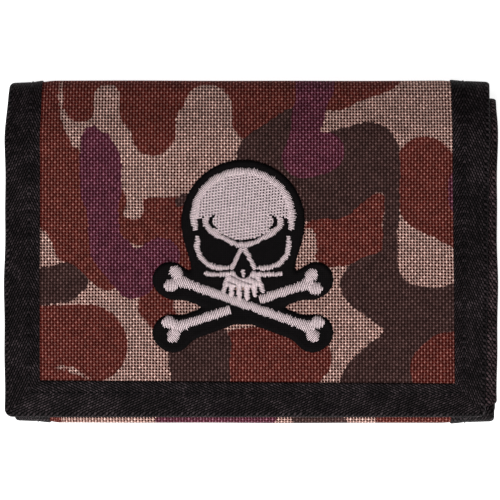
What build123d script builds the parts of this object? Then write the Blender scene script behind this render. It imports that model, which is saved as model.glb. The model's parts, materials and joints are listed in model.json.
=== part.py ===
from build123d import *
import os
from math import atan2, degrees, hypot

# Trifold wallet of woven fabric, closed, lying on its back: X runs along the folds, Y from fold to fold, Z up.
#
# The wallet is one strip of shell fabric and one strip of lining, bound at the edges with folded tape. The strip is
# cut here at its two folds into five rigid panels: back, top fold, front flap, bottom fold and inner flap.

# ---- driving dimensions, millimetres ----
WIDTH = 130.0  # along the folds
HEIGHT = 91.0  # from the bottom fold to the top fold, closed
SHELL_T = 0.8  # woven polyester with its coating
LINING_T = 0.5
BILL_GAP = 1.0  # banknote compartment, between shell and lining
TAPE_T = 0.4  # binding tape, one layer
TAPE_LEFT = 9.2  # how far the folded tape reaches in from each edge
TAPE_RIGHT = 9.5
TAPE_FREE = 10.0
LINING_PROUD = 2.4  # the lining's open edge stands this far past the shell's
FLAP_LENGTH = 88.4  # from the top fold's axis to the flap's free edge
INNER_LENGTH = 55.0  # from the bottom fold's axis to the inner flap's free edge
FRONT_RISE = 15.7  # length of the top fold, axis to axis
INNER_RISE = 8.8  # length of the bottom fold, axis to axis
HOOK_T = 1.95
LOOP_T = 2.6
FOLD_GAP = 0.05  # running clearance round each fold's bead
CORNER_R = 2.0  # rounded free corners

# ---- levels and edges that follow from them ----
LEFT = -WIDTH / 2
RIGHT = WIDTH / 2
SHELL_RIGHT = RIGHT - LINING_PROUD
TOP_AXIS = HEIGHT / 2 - TAPE_T - SHELL_T / 2
BOTTOM_AXIS = -TOP_AXIS
BACK_MID = TAPE_T + SHELL_T / 2  # height of the back shell's middle surface
FRONT_MID = BACK_MID + FRONT_RISE
INNER_MID = BACK_MID + INNER_RISE
FLAP_END = TOP_AXIS - FLAP_LENGTH
INNER_END = BOTTOM_AXIS + INNER_LENGTH
# offsets of the layers from a panel's middle surface, towards the inside of the wallet
SHELL_IN = SHELL_T / 2
LINING_OUT = SHELL_IN + BILL_GAP
LINING_IN = LINING_OUT + LINING_T
TAPE_OUT = SHELL_IN + TAPE_T
TAPE_IN = LINING_IN + TAPE_T
# setbacks of the layers from a fold's axis
SHELL_SETBACK = SHELL_T / 2 + FOLD_GAP
TAPE_SETBACK = 0.5
SHELL_TAPE_SETBACK = 1.5
LINING_SETBACK = 2.8
FOLD_LINING_SETBACK = 2.2
FOLD_SHELL_TAPE_SETBACK = 1.0

# ---- coin pocket, card slots and zip, on the back lining ----
BACK_LINING_TOP = BACK_MID + LINING_IN
POCKET_X = (-54.0, 54.0)
POCKET_Y = (-40.0, 31.0)
POCKET_DEPTH = 1.6
POCKET_T = 0.5
POCKET_TOP = BACK_LINING_TOP + POCKET_DEPTH + POCKET_T
FACING_DEPTH = 4.0
ZIP_Y = 22.0
ZIP_SLOT = 10.0
ZIP_TAPE_T = 0.4
ZIP_LENGTH = 98.0
COIL_GAP = 1.0
COIL_WIDTH = 1.2
COIL_HEIGHT = 1.4
COIL_Z = POCKET_TOP + ZIP_TAPE_T
SLIDER_X = -44.0
SLIDER_LENGTH = 9.0
SLIDER_WIDTH = 7.6
SLIDER_PLATE = 0.8
SLIDER_CLEAR = 0.1
PULL_LENGTH = 14.0
PULL_WIDTH = 4.4
PIN_R = 0.5
PIN_CLEAR = 0.08
CARD_WIDTH = 92.0
CARD_BOTTOM = -38.0
CARD_TOPS = (10.0, 0.0, -10.0)
CARD_T = 0.4
CARD_GAP = 0.15
CARD_SEAM = 2.5

# ---- identity window on the inner flap, hook and loop ----
WINDOW_SIZE = (92.0, 40.0)
WINDOW_T = 0.25
WINDOW_FRAME_T = 0.45
WINDOW_FRAME = 6.0
WINDOW_Y = BOTTOM_AXIS + 24.0
STRIP_X = (-50.0, 50.0)
STRIP_Y = (-33.0, -13.0)

# ---- embroidered patch: a skull over crossed bones ----
PATCH_X = -2.1
SKULL_Y = 8.3
SKULL_R = 13.9
BONE_Y = -15.0
BONE_REACH = 19.0  # half the distance between a bone's ends, along X
BONE_DROP = 7.0  # half the distance between a bone's ends, along Y
BONE_WIDTH = 2.6
KNOB_R = 1.75
PATCH_MARGIN = 2.5  # black cloth round the stitching
PATCH_T = 0.9
STITCH_T = 0.4


def block(x, y, z, mode=Mode.ADD):
    """A box between three pairs of limits, in whichever part is being built."""
    with BuildSketch(Plane.XY.offset(z[0])) as outline:
        with Locations(((x[0] + x[1]) / 2, (y[0] + y[1]) / 2)):
            Rectangle(x[1] - x[0], y[1] - y[0])
    extrude(outline.sketch, amount=z[1] - z[0], mode=mode)


def rounded_sketch(x, y, free_side, radius):
    """A rectangle with the two corners at its free end rounded; free_side is -1 for low Y and 1 for high Y."""
    with Locations(((x[0] + x[1]) / 2, (y[0] + y[1]) / 2)):
        outline = Rectangle(x[1] - x[0], y[1] - y[0])
    corners = outline.vertices().sort_by(Axis.Y)
    fillet(corners[:2] if free_side < 0 else corners[-2:], radius)


def rounded_block(x, y, z, free_side, radius):
    """A box with the two upright edges at its free end rounded."""
    with BuildSketch(Plane.XY.offset(z[0])) as outline:
        rounded_sketch(x, y, free_side, radius)
    extrude(outline.sketch, amount=z[1] - z[0])


def save(piece, name):
    """Labels a finished piece and writes it as parts/name.step."""
    piece.part.label = name
    export_step(piece.part, f"parts/{name}.step")


def levels(mid, side, near, far):
    """Heights of a layer near..far from a panel's middle surface; side is +1 where the inside faces up."""
    return tuple(sorted((mid + side * near, mid + side * far)))


def leg(mid, side, near, far, x, y):
    """One flat leg of a binding tape."""
    block(x, y, levels(mid, side, near, far))


# ---- back panel ----
def make_back():
    """The back panel's shell, lining and tapes. Its inside faces up."""
    shell_y = (BOTTOM_AXIS + SHELL_SETBACK, TOP_AXIS - SHELL_SETBACK)
    outer_y = (BOTTOM_AXIS + TAPE_SETBACK, TOP_AXIS - TAPE_SETBACK)
    middle_y = (BOTTOM_AXIS + SHELL_TAPE_SETBACK, TOP_AXIS - SHELL_TAPE_SETBACK)
    inner_y = (BOTTOM_AXIS + LINING_SETBACK, TOP_AXIS - LINING_SETBACK)

    with BuildPart() as back_shell:
        block((LEFT + TAPE_T, SHELL_RIGHT - TAPE_T), shell_y, levels(BACK_MID, 1, -SHELL_IN, SHELL_IN))
    save(back_shell, "back_shell")

    with BuildPart() as back_lining:
        block((LEFT + TAPE_T, RIGHT - TAPE_T), inner_y, levels(BACK_MID, 1, LINING_OUT, LINING_IN))
    save(back_lining, "back_lining")

    with BuildPart() as back_tape_left:
        leg(BACK_MID, 1, -TAPE_OUT, -SHELL_IN, (LEFT, LEFT + TAPE_LEFT), outer_y)
        leg(BACK_MID, 1, LINING_IN, TAPE_IN, (LEFT, LEFT + TAPE_LEFT), inner_y)
        leg(BACK_MID, 1, -TAPE_OUT, TAPE_IN, (LEFT, LEFT + TAPE_T), inner_y)
    save(back_tape_left, "back_tape_left")

    with BuildPart() as back_tape_right:
        reach = (SHELL_RIGHT - TAPE_RIGHT, SHELL_RIGHT)
        leg(BACK_MID, 1, -TAPE_OUT, -SHELL_IN, reach, outer_y)
        leg(BACK_MID, 1, SHELL_IN, TAPE_OUT, reach, middle_y)
        leg(BACK_MID, 1, -TAPE_OUT, TAPE_OUT, (SHELL_RIGHT - TAPE_T, SHELL_RIGHT), middle_y)
    save(back_tape_right, "back_tape_right")

    with BuildPart() as back_lining_tape:
        reach = (RIGHT - TAPE_LEFT, RIGHT)
        leg(BACK_MID, 1, LINING_OUT - TAPE_T, LINING_OUT, reach, inner_y)
        leg(BACK_MID, 1, LINING_IN, TAPE_IN, reach, inner_y)
        leg(BACK_MID, 1, LINING_OUT - TAPE_T, TAPE_IN, (RIGHT - TAPE_T, RIGHT), inner_y)
    save(back_lining_tape, "back_lining_tape")


def make_fold(name, axis_y, outward, rise):
    """One fold: the strip between two fold axes, standing up from the back panel. outward is the sign of Y."""
    low = BACK_MID
    high = BACK_MID + rise

    def across(near, far):
        """Y limits of a layer near..far inwards from the fold's middle surface."""
        return tuple(sorted((axis_y - outward * near, axis_y - outward * far)))

    def up(setback):
        return (low + setback, high - setback)

    with BuildPart() as fold_shell:
        with BuildSketch(Plane.YZ.offset(LEFT + TAPE_T)):
            with Locations((axis_y, (low + high) / 2)):
                SlotCenterToCenter(rise, SHELL_T, rotation=90)
        extrude(amount=SHELL_RIGHT - LEFT - 2 * TAPE_T)
    save(fold_shell, f"{name}_shell")

    with BuildPart() as fold_lining:
        block((LEFT + TAPE_T, RIGHT - TAPE_T), across(LINING_OUT, LINING_IN), up(FOLD_LINING_SETBACK))
    save(fold_lining, f"{name}_lining")

    with BuildPart() as fold_tape_left:
        block((LEFT, LEFT + TAPE_LEFT), across(-TAPE_OUT, -SHELL_IN), up(TAPE_SETBACK))
        block((LEFT, LEFT + TAPE_LEFT), across(LINING_IN, TAPE_IN), up(FOLD_LINING_SETBACK))
        block((LEFT, LEFT + TAPE_T), across(-TAPE_OUT, TAPE_IN), up(FOLD_LINING_SETBACK))
    save(fold_tape_left, f"{name}_tape_left")

    with BuildPart() as fold_tape_right:
        reach = (SHELL_RIGHT - TAPE_RIGHT, SHELL_RIGHT)
        block(reach, across(-TAPE_OUT, -SHELL_IN), up(TAPE_SETBACK))
        block(reach, across(SHELL_IN, TAPE_OUT), up(FOLD_SHELL_TAPE_SETBACK))
        block((SHELL_RIGHT - TAPE_T, SHELL_RIGHT), across(-TAPE_OUT, TAPE_OUT), up(FOLD_SHELL_TAPE_SETBACK))
    save(fold_tape_right, f"{name}_tape_right")

    with BuildPart() as fold_lining_tape:
        reach = (RIGHT - TAPE_LEFT, RIGHT)
        block(reach, across(LINING_OUT - TAPE_T, LINING_OUT), up(FOLD_LINING_SETBACK))
        block(reach, across(LINING_IN, TAPE_IN), up(FOLD_LINING_SETBACK))
        block((RIGHT - TAPE_T, RIGHT), across(LINING_OUT - TAPE_T, TAPE_IN), up(FOLD_LINING_SETBACK))
    save(fold_lining_tape, f"{name}_lining_tape")


def make_flap(name, axis_y, end_y, mid):
    """A flap folded over from axis_y to its free edge at end_y. Its inside faces down."""
    toward = 1 if end_y > axis_y else -1
    inner_r = CORNER_R - TAPE_T

    def span(setback, inset=0.0):
        """Y limits from a setback off the fold's axis to inset short of the free edge."""
        return tuple(sorted((axis_y + toward * setback, end_y - toward * inset)))

    with BuildPart() as flap_shell:
        limits = (LEFT + TAPE_T, SHELL_RIGHT - TAPE_T)
        shell_z = levels(mid, -1, -SHELL_IN, SHELL_IN)
        rounded_block(limits, span(SHELL_SETBACK, TAPE_T), shell_z, toward, inner_r)
    save(flap_shell, f"{name}_shell")

    with BuildPart() as flap_lining:
        limits = (LEFT + TAPE_T, RIGHT - TAPE_T)
        lining_z = levels(mid, -1, LINING_OUT, LINING_IN)
        rounded_block(limits, span(LINING_SETBACK, TAPE_T), lining_z, toward, inner_r)
    save(flap_lining, f"{name}_lining")

    free = tuple(sorted((end_y, end_y - toward * TAPE_FREE)))
    rim = tuple(sorted((end_y, end_y - toward * TAPE_T)))
    with BuildPart() as flap_binding:
        # outer legs, with the free corners rounded
        with BuildSketch(Plane.XY.offset(levels(mid, -1, -TAPE_OUT, -SHELL_IN)[0])):
            rounded_sketch((LEFT, SHELL_RIGHT), span(TAPE_SETBACK), toward, CORNER_R)
            window_y = span(TAPE_SETBACK, TAPE_FREE)
            with Locations(((LEFT + TAPE_LEFT + SHELL_RIGHT - TAPE_RIGHT) / 2, (window_y[0] + window_y[1]) / 2)):
                Rectangle(
                    SHELL_RIGHT - TAPE_RIGHT - LEFT - TAPE_LEFT, window_y[1] - window_y[0], mode=Mode.SUBTRACT
                )
        extrude(amount=TAPE_T)
        # inner legs: over shell and lining at the left and the free edge, over the shell alone at the right
        left_reach = (LEFT, LEFT + TAPE_LEFT)
        leg(mid, -1, LINING_IN, TAPE_IN, left_reach, span(LINING_SETBACK, CORNER_R))
        leg(mid, -1, LINING_IN, TAPE_IN, (LEFT + CORNER_R, RIGHT - TAPE_LEFT - CORNER_R), free)
        right_reach = (SHELL_RIGHT - TAPE_RIGHT, SHELL_RIGHT)
        leg(mid, -1, SHELL_IN, TAPE_OUT, right_reach, span(SHELL_TAPE_SETBACK, CORNER_R))
        # rims that join the legs round the edges
        leg(mid, -1, -TAPE_OUT, TAPE_IN, (LEFT, LEFT + TAPE_T), span(LINING_SETBACK, CORNER_R))
        leg(mid, -1, -TAPE_OUT, TAPE_IN, (LEFT + CORNER_R, RIGHT - TAPE_LEFT - CORNER_R), rim)
        right_rim = (SHELL_RIGHT - TAPE_T, SHELL_RIGHT)
        leg(mid, -1, -TAPE_OUT, TAPE_OUT, right_rim, span(SHELL_TAPE_SETBACK, CORNER_R))
    save(flap_binding, f"{name}_binding")

    with BuildPart() as flap_lining_tape:
        reach = (RIGHT - TAPE_LEFT, RIGHT)
        limits = span(LINING_SETBACK, CORNER_R)
        leg(mid, -1, LINING_OUT - TAPE_T, LINING_OUT, reach, limits)
        leg(mid, -1, LINING_IN, TAPE_IN, reach, limits)
        leg(mid, -1, LINING_OUT - TAPE_T, TAPE_IN, (RIGHT - TAPE_T, RIGHT), limits)
    save(flap_lining_tape, f"{name}_lining_tape")


# ---- closure ----
def make_closure():
    """Hook strip under the front flap and the loop strip that it grips on the inner flap."""
    hook_top = FRONT_MID - LINING_IN
    with BuildPart() as hook_strip:
        block(STRIP_X, STRIP_Y, (hook_top - HOOK_T, hook_top))
    save(hook_strip, "flap_hook_strip")

    loop_bottom = INNER_MID + SHELL_IN
    with BuildPart() as loop_strip:
        block(STRIP_X, STRIP_Y, (loop_bottom, loop_bottom + LOOP_T))
    save(loop_strip, "inner_loop_strip")


# ---- pockets on the back panel ----
def pocket_box(y, open_side):
    """A shallow tray, open downwards and towards the zip; open_side is the sign of Y that it opens to."""
    block(POCKET_X, y, (BACK_LINING_TOP, POCKET_TOP))
    hollow_x = (POCKET_X[0] + POCKET_T, POCKET_X[1] - POCKET_T)
    hollow_y = (y[0] + (POCKET_T if open_side > 0 else 0), y[1] - (POCKET_T if open_side < 0 else 0))
    block(hollow_x, hollow_y, (BACK_LINING_TOP, POCKET_TOP - POCKET_T), Mode.SUBTRACT)


def make_coin_pocket():
    """Coin pocket: its front, the facing above the zip, and the zip's tapes, coils and stops."""
    slot = (ZIP_Y - ZIP_SLOT / 2, ZIP_Y + ZIP_SLOT / 2)
    with BuildPart() as pocket:
        pocket_box((POCKET_Y[0], slot[1]), 1)
        slot_x = (POCKET_X[0] + POCKET_T, POCKET_X[1] - POCKET_T)
        block(slot_x, slot, (POCKET_TOP - POCKET_T, POCKET_TOP), Mode.SUBTRACT)
    save(pocket, "coin_pocket_front")

    with BuildPart() as facing:
        pocket_box((slot[1], POCKET_Y[1]), -1)
    save(facing, "coin_pocket_facing")

    inner_edge = COIL_GAP / 2
    for side, end in (("lower", -1), ("upper", 1)):
        edges = sorted((ZIP_Y + end * (inner_edge + COIL_WIDTH * 0.6), ZIP_Y + end * (ZIP_SLOT / 2 + FACING_DEPTH)))
        with BuildPart() as zip_tape:
            block(POCKET_X, edges, (POCKET_TOP, POCKET_TOP + ZIP_TAPE_T))
        save(zip_tape, f"zip_tape_{side}")

        coil_y = sorted((ZIP_Y + end * inner_edge, ZIP_Y + end * (inner_edge + COIL_WIDTH)))
        with BuildPart() as coil:
            with BuildSketch(Plane.YZ.offset(-ZIP_LENGTH / 2)):
                with Locations(((coil_y[0] + coil_y[1]) / 2, COIL_Z + COIL_HEIGHT / 2)):
                    RectangleRounded(COIL_WIDTH, COIL_HEIGHT, COIL_WIDTH * 0.3)
            extrude(amount=ZIP_LENGTH)
        save(coil, f"zip_coil_{side}")

    stop_width = COIL_GAP + 2 * COIL_WIDTH
    stop_length = 2.0
    stop_gap = 0.3
    with BuildPart() as stops:
        for end in (-1, 1):
            near = end * (ZIP_LENGTH / 2 + stop_gap)
            limits = tuple(sorted((near, near + end * stop_length)))
            stop_y = (ZIP_Y - stop_width / 2, ZIP_Y + stop_width / 2)
            block(limits, stop_y, (COIL_Z, COIL_Z + COIL_HEIGHT))
    save(stops, "zip_stops")


def make_slider():
    """The slider rides on both coils, with a post between them, and carries the pull on a pin along Y."""
    length = (SLIDER_X - SLIDER_LENGTH / 2, SLIDER_X + SLIDER_LENGTH / 2)
    width = (ZIP_Y - SLIDER_WIDTH / 2, ZIP_Y + SLIDER_WIDTH / 2)
    coil_edge = COIL_GAP / 2 + COIL_WIDTH + SLIDER_CLEAR
    under = POCKET_TOP - SLIDER_CLEAR
    over = COIL_Z + COIL_HEIGHT + SLIDER_CLEAR
    top = over + SLIDER_PLATE
    pin_z = top + PIN_R + PIN_CLEAR + 0.3
    pull_edge = PULL_WIDTH / 2 + SLIDER_CLEAR
    lug = 0.8
    with BuildPart() as slider:
        block(length, width, (under - SLIDER_PLATE, under))
        block(length, width, (over, top))
        fillet(slider.edges().filter_by(Axis.Z), 1.2)
        for end in (-1, 1):
            flange = tuple(sorted((ZIP_Y + end * coil_edge, ZIP_Y + end * SLIDER_WIDTH / 2)))
            block((SLIDER_X - 3.2, SLIDER_X + 3.2), flange, (COIL_Z + SLIDER_CLEAR, over))
            ear = tuple(sorted((ZIP_Y + end * pull_edge, ZIP_Y + end * (pull_edge + lug))))
            block((SLIDER_X - 1.4, SLIDER_X + 1.4), ear, (top, pin_z + PIN_R))
        # the post that parts the coils also ties the two plates together
        post = COIL_GAP / 2 - SLIDER_CLEAR
        block((SLIDER_X - 3.0, SLIDER_X - 0.5), (ZIP_Y - post, ZIP_Y + post), (under, over))
        with BuildSketch(Plane.XZ.offset(-(ZIP_Y + pull_edge))):
            with Locations((SLIDER_X, pin_z)):
                Circle(PIN_R)
        extrude(amount=2 * pull_edge)
    save(slider, "zip_slider")

    with BuildPart() as pull:
        eye_r = PIN_R + PIN_CLEAR + 0.25
        with BuildSketch(Plane.XZ.offset(-(ZIP_Y + PULL_WIDTH / 2))):
            with Locations((SLIDER_X, pin_z)):
                Circle(eye_r)
            with Locations((SLIDER_X + PULL_LENGTH / 2, pin_z)):
                Rectangle(PULL_LENGTH, SLIDER_PLATE)
            with Locations((SLIDER_X, pin_z)):
                Circle(PIN_R + PIN_CLEAR, mode=Mode.SUBTRACT)
        extrude(amount=PULL_WIDTH)
        tip = pull.edges().filter_by(Axis.Z).group_by(Axis.X)[-1]
        fillet(tip, 1.6)
        with BuildSketch(Plane.XY.offset(pin_z - SLIDER_PLATE)):
            with Locations((SLIDER_X + PULL_LENGTH * 0.62, ZIP_Y)):
                SlotOverall(PULL_LENGTH * 0.42, 1.6)
        extrude(amount=2 * SLIDER_PLATE, mode=Mode.SUBTRACT)
    save(pull, "zip_pull")
    print("pull pin height", round(pin_z, 3))


def make_card_slots():
    """Three stepped card slots on the front of the coin pocket, each sewn at its sides and bottom."""
    x = (-CARD_WIDTH / 2, CARD_WIDTH / 2)
    for number, top in enumerate(CARD_TOPS):
        floor = POCKET_TOP + number * (CARD_T + CARD_GAP)
        with BuildPart() as slot:
            block(x, (CARD_BOTTOM, top), (floor, floor + CARD_GAP + CARD_T))
            hollow_x = (x[0] + CARD_SEAM, x[1] - CARD_SEAM)
            block(hollow_x, (CARD_BOTTOM + CARD_SEAM, top), (floor, floor + CARD_GAP), Mode.SUBTRACT)
        save(slot, f"card_slot_{number + 1}")


def make_window():
    """Clear identity window under the inner flap's lining, held by a fabric frame with its opening at the free end."""
    top = INNER_MID - LINING_IN
    width, depth = WINDOW_SIZE
    x = (-width / 2, width / 2)
    y = (WINDOW_Y - depth / 2, WINDOW_Y + depth / 2)
    with BuildPart() as window:
        block(x, y, (top - WINDOW_T, top))
    save(window, "id_window")

    with BuildPart() as frame:
        block(x, y, (top - WINDOW_T - WINDOW_FRAME_T, top - WINDOW_T))
        with BuildSketch(Plane.XY.offset(top - WINDOW_T - WINDOW_FRAME_T)):
            with Locations((0, WINDOW_Y)):
                RectangleRounded(width - 2 * WINDOW_FRAME, depth - 2 * WINDOW_FRAME, 4.0)
            # thumb notch in the frame's free side
            with Locations((0, y[1])):
                Circle(9.0)
        extrude(amount=WINDOW_FRAME_T, mode=Mode.SUBTRACT)
    save(frame, "id_window_frame")


# ---- patch ----
def bone(slope, width, knob):
    """A straight bone with two knobs at each end, in whichever sketch is being built; slope is +1 or -1."""
    angle = degrees(atan2(slope * BONE_DROP, BONE_REACH))
    reach = hypot(BONE_REACH, BONE_DROP)
    with Locations(Location((PATCH_X, BONE_Y), angle)):
        SlotCenterToCenter(2 * reach, width)
        with Locations(*[(sx * reach, sy * KNOB_R * 0.95) for sx in (-1, 1) for sy in (-1, 1)]):
            Circle(knob)


def make_patch():
    """Black cloth patch with the skull and the crossed bones stitched on it, on the front flap's shell."""
    cloth_z = FRONT_MID + SHELL_IN
    stitch_z = cloth_z + PATCH_T
    jaw_y = -6.0
    with BuildPart() as backing:
        with BuildSketch(Plane.XY.offset(cloth_z)):
            with Locations((PATCH_X, SKULL_Y)):
                Circle(SKULL_R + PATCH_MARGIN)
            with Locations((PATCH_X, jaw_y / 2)):
                Rectangle(2 * SKULL_R, SKULL_Y - jaw_y + PATCH_MARGIN)
            for slope in (-1, 1):
                bone(slope, BONE_WIDTH + 2 * PATCH_MARGIN, KNOB_R + PATCH_MARGIN)
        extrude(amount=PATCH_T)
    save(backing, "patch_backing")

    with BuildPart() as skull:
        with BuildSketch(Plane.XY.offset(stitch_z)):
            with Locations((PATCH_X, SKULL_Y)):
                Circle(SKULL_R)
            with Locations((PATCH_X, -1.5)):
                Rectangle(1.5 * SKULL_R, 9.0)
            with Locations((PATCH_X, -7.5)):
                Rectangle(0.75 * SKULL_R, 5.0)
            for side in (-1, 1):
                with Locations(Location((PATCH_X + side * 6.0, 1.2), side * 20.0)):
                    Ellipse(4.4, 3.1, mode=Mode.SUBTRACT)
            with Locations((PATCH_X, -3.6)):
                Triangle(a=3.4, B=68, C=68, mode=Mode.SUBTRACT)
        extrude(amount=STITCH_T)
    save(skull, "patch_skull")

    with BuildPart() as bones:
        with BuildSketch(Plane.XY.offset(stitch_z)):
            bone(1, BONE_WIDTH, KNOB_R)
            # the rear bone stops short of the front one
            with Locations(Location((PATCH_X, BONE_Y), degrees(atan2(-BONE_DROP, BONE_REACH)))):
                Rectangle(2 * BONE_REACH, BONE_WIDTH + 1.6, mode=Mode.SUBTRACT)
            bone(-1, BONE_WIDTH, KNOB_R)
        extrude(amount=STITCH_T)
    save(bones, "patch_bones")


os.makedirs("parts", exist_ok=True)
make_back()
make_fold("top_fold", TOP_AXIS, 1, FRONT_RISE)
make_fold("bottom_fold", BOTTOM_AXIS, -1, INNER_RISE)
make_flap("front", TOP_AXIS, FLAP_END, FRONT_MID)
make_flap("inner", BOTTOM_AXIS, INNER_END, INNER_MID)
make_closure()
make_coin_pocket()
make_slider()
make_card_slots()
make_window()
make_patch()
print("fold axes at Y", TOP_AXIS, BOTTOM_AXIS, "Z", BACK_MID, FRONT_MID, INNER_MID)
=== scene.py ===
import json
import math

import bmesh
import bpy
import numpy as np
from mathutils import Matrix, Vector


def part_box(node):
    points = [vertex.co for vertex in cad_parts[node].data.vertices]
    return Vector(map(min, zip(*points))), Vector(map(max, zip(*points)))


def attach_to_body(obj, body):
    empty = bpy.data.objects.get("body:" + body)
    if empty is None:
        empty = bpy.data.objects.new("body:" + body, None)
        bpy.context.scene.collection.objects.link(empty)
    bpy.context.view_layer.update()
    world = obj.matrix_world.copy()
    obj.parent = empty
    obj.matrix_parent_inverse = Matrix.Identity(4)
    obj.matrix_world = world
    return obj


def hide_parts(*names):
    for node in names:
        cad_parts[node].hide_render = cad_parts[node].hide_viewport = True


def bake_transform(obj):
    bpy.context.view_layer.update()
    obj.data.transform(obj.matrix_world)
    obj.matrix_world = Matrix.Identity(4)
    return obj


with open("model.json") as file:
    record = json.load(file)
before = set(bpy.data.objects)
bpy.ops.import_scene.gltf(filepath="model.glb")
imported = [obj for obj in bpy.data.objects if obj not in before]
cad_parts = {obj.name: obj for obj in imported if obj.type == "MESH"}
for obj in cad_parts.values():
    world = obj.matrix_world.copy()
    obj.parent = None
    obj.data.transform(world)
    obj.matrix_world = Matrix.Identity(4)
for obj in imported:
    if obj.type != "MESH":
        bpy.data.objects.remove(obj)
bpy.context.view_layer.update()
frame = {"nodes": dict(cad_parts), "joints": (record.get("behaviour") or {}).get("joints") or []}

MM = 0.001
RANDOM = np.random.default_rng(7)

# ---- the folded strip, in millimetres, from the CAD's hinges and boxes ----
HINGE = {j["name"]: np.array(j["pos_m"]) / MM for j in frame["joints"] if j["type"] == "hinge"}
TOP_Y, BACK_Z = HINGE["front_flap_open"][1:]
FRONT_Z = HINGE["top_fold_flatten"][2]
BOTTOM_Y = HINGE["inner_flap_open"][1]
INNER_Z = HINGE["bottom_fold_flatten"][2]
FRONT_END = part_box("front_binding")[0].y / MM
INNER_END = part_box("inner_binding")[1].y / MM
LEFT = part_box("back_tape_left")[0].x / MM
SHELL_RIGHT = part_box("back_tape_right")[1].x / MM
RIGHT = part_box("back_lining_tape")[1].x / MM
TAPE_WIDTH = 9.3
SEWN_IN = 2.9  # from the tape's selvedge to its stitches
SHELL_T = 0.8
LINING_T = 0.5
TAPE_T = 0.4
BILL_GAP = 1.0
FOLD_R = 3.2  # the cloth turns its folds at this radius
CORNER_R = 2.2
TOP_SAG = 4.2
LINING_INSET = 2.6
# from row to row of the tapes and of their sewn lines, on the flats and in the bends; the lining has its rows
# where the tapes do, so that it stays inside the tape where both bend
TAPE_STEPS = (1.6, 0.42)
SEWN_STEPS = (1.0, 0.3)

QUARTER = FOLD_R * math.pi / 2
RUNS = [
    TOP_Y - FOLD_R - FRONT_END, QUARTER,
    FRONT_Z - BACK_Z - 2 * FOLD_R, QUARTER,
    TOP_Y - BOTTOM_Y - 2 * FOLD_R, QUARTER,
    INNER_Z - BACK_Z - 2 * FOLD_R, QUARTER,
    INNER_END - BOTTOM_Y - FOLD_R,
]
STARTS = FRONT_END + np.concatenate([[0], np.cumsum(RUNS)])
# where each straight run starts and each bend has its centre, as (y, z)
BASES = np.array([
    (FRONT_END, FRONT_Z), (TOP_Y - FOLD_R, FRONT_Z - FOLD_R),
    (TOP_Y, FRONT_Z - FOLD_R), (TOP_Y - FOLD_R, BACK_Z + FOLD_R),
    (TOP_Y - FOLD_R, BACK_Z), (BOTTOM_Y + FOLD_R, BACK_Z + FOLD_R),
    (BOTTOM_Y, BACK_Z + FOLD_R), (BOTTOM_Y + FOLD_R, INNER_Z - FOLD_R),
    (BOTTOM_Y + FOLD_R, INNER_Z),
])
MID_TOP = (STARTS[2] + STARTS[3]) / 2
MID_BACK = (STARTS[4] + STARTS[5]) / 2
MID_BOTTOM = (STARTS[6] + STARTS[7]) / 2
END = STARTS[9]
# each stretch of the strip: name, first and last place along it, and the two bodies that it bends between
STRETCHES = {
    "front": (FRONT_END, MID_TOP, "top_fold", "front_flap"),
    "top": (MID_TOP, MID_BACK, "back", "top_fold"),
    "bottom": (MID_BACK, MID_BOTTOM, "back", "bottom_fold"),
    "inner": (MID_BOTTOM, END, "bottom_fold", "inner_flap"),
}
# what the names of the CAD's parts start with on each stretch
PANELS = {"front": ["front"], "top": ["top_fold", "back"], "bottom": ["bottom_fold"], "inner": ["inner"]}


def smooth(t):
    t = np.clip(t, 0, 1)
    return t * t * (3 - 2 * t)


def ripple(x, s):
    """How far the cloth stands out of its flat place: sides and free edges droop, and panels ripple."""
    loose = np.interp(s, [STARTS[3], STARTS[4], STARTS[5], STARTS[6]], [1, 0, 0, 1])
    droop = -1.0 * smooth((-x - 51) / 14) - 0.45 * smooth((x - 52) / 13)
    droop -= 0.7 * smooth((FRONT_END + 13 - s) / 13) + 0.4 * smooth((s - END + 12) / 12)
    wave = 0.11 * np.sin(x / 19 + 0.7) * np.sin(s / 11 + 0.4) + 0.06 * np.sin(x / 6.5 + s / 8)
    folds = np.exp(-(((s - MID_TOP) / 7) ** 2)) + np.exp(-(((s - MID_BOTTOM) / 5) ** 2))
    bulge = folds * (0.1 + 0.6 * smooth((x + 60) / 8) * smooth((58 - x) / 7))
    return loose * (droop + wave) * (1 - 0.6 * folds) + bulge


def pull(x, s):
    """How far the edges are drawn in where the tape turns the folds."""
    left = np.interp(s, [FRONT_END, 30, 47, 95, 146, 156, END], [-0.35, -0.1, 0.7, 0.6, 1.9, 1.7, 0.8])
    right = np.interp(s, [FRONT_END, 30, 47, 95, 143, 156, END], [-0.45, 0.5, 1.0, 0.5, 2.6, 2.4, 0.3])
    inner_left = np.interp(s, [100, 146, 156, 170], [0.0, 1.5, 1.5, 0.0])
    inner_right = np.interp(s, [FRONT_END, 30, 47], [0.75, -0.2, -0.3])
    slack = 0.12 * np.sin(s / 7.0) + 0.08 * np.sin(s / 3.1 + 1)
    at_left = (left + slack) * smooth((-x - 50) / 15) + inner_left * np.exp(-(((x + 55) / 3.5) ** 2))
    at_right = (right - slack) * smooth((x - 50) / 13) + inner_right * np.exp(-(((x - 52.5) / 3.5) ** 2))
    return at_left + np.where(x < SHELL_RIGHT + 0.1, at_right, 0.3 - slack)


def corner(x, low, high):
    """How far a sheet's free end is cut back where its corners are rounded."""
    d = CORNER_R - np.clip(np.minimum(x - low, high - x), 0, CORNER_R)
    return CORNER_R - np.sqrt(CORNER_R**2 - d**2)


def ended(s, cut):
    """Moves the places near a flap's free end back along the strip by cut."""
    near = np.clip(1 - (s - FRONT_END) / 9, 0, 1) - np.clip(1 - (END - s) / 9, 0, 1)
    return s + cut * near


def bill_gap(x, s):
    """Room between shell and lining; the tape closes it at the left and at both free edges."""
    return 0.04 + BILL_GAP * smooth((x - LEFT) / 11) * smooth((s - FRONT_END) / 10) * smooth((END - s) / 10)


def lining_out(x, s):
    return -SHELL_T / 2 - bill_gap(x, s)


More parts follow.
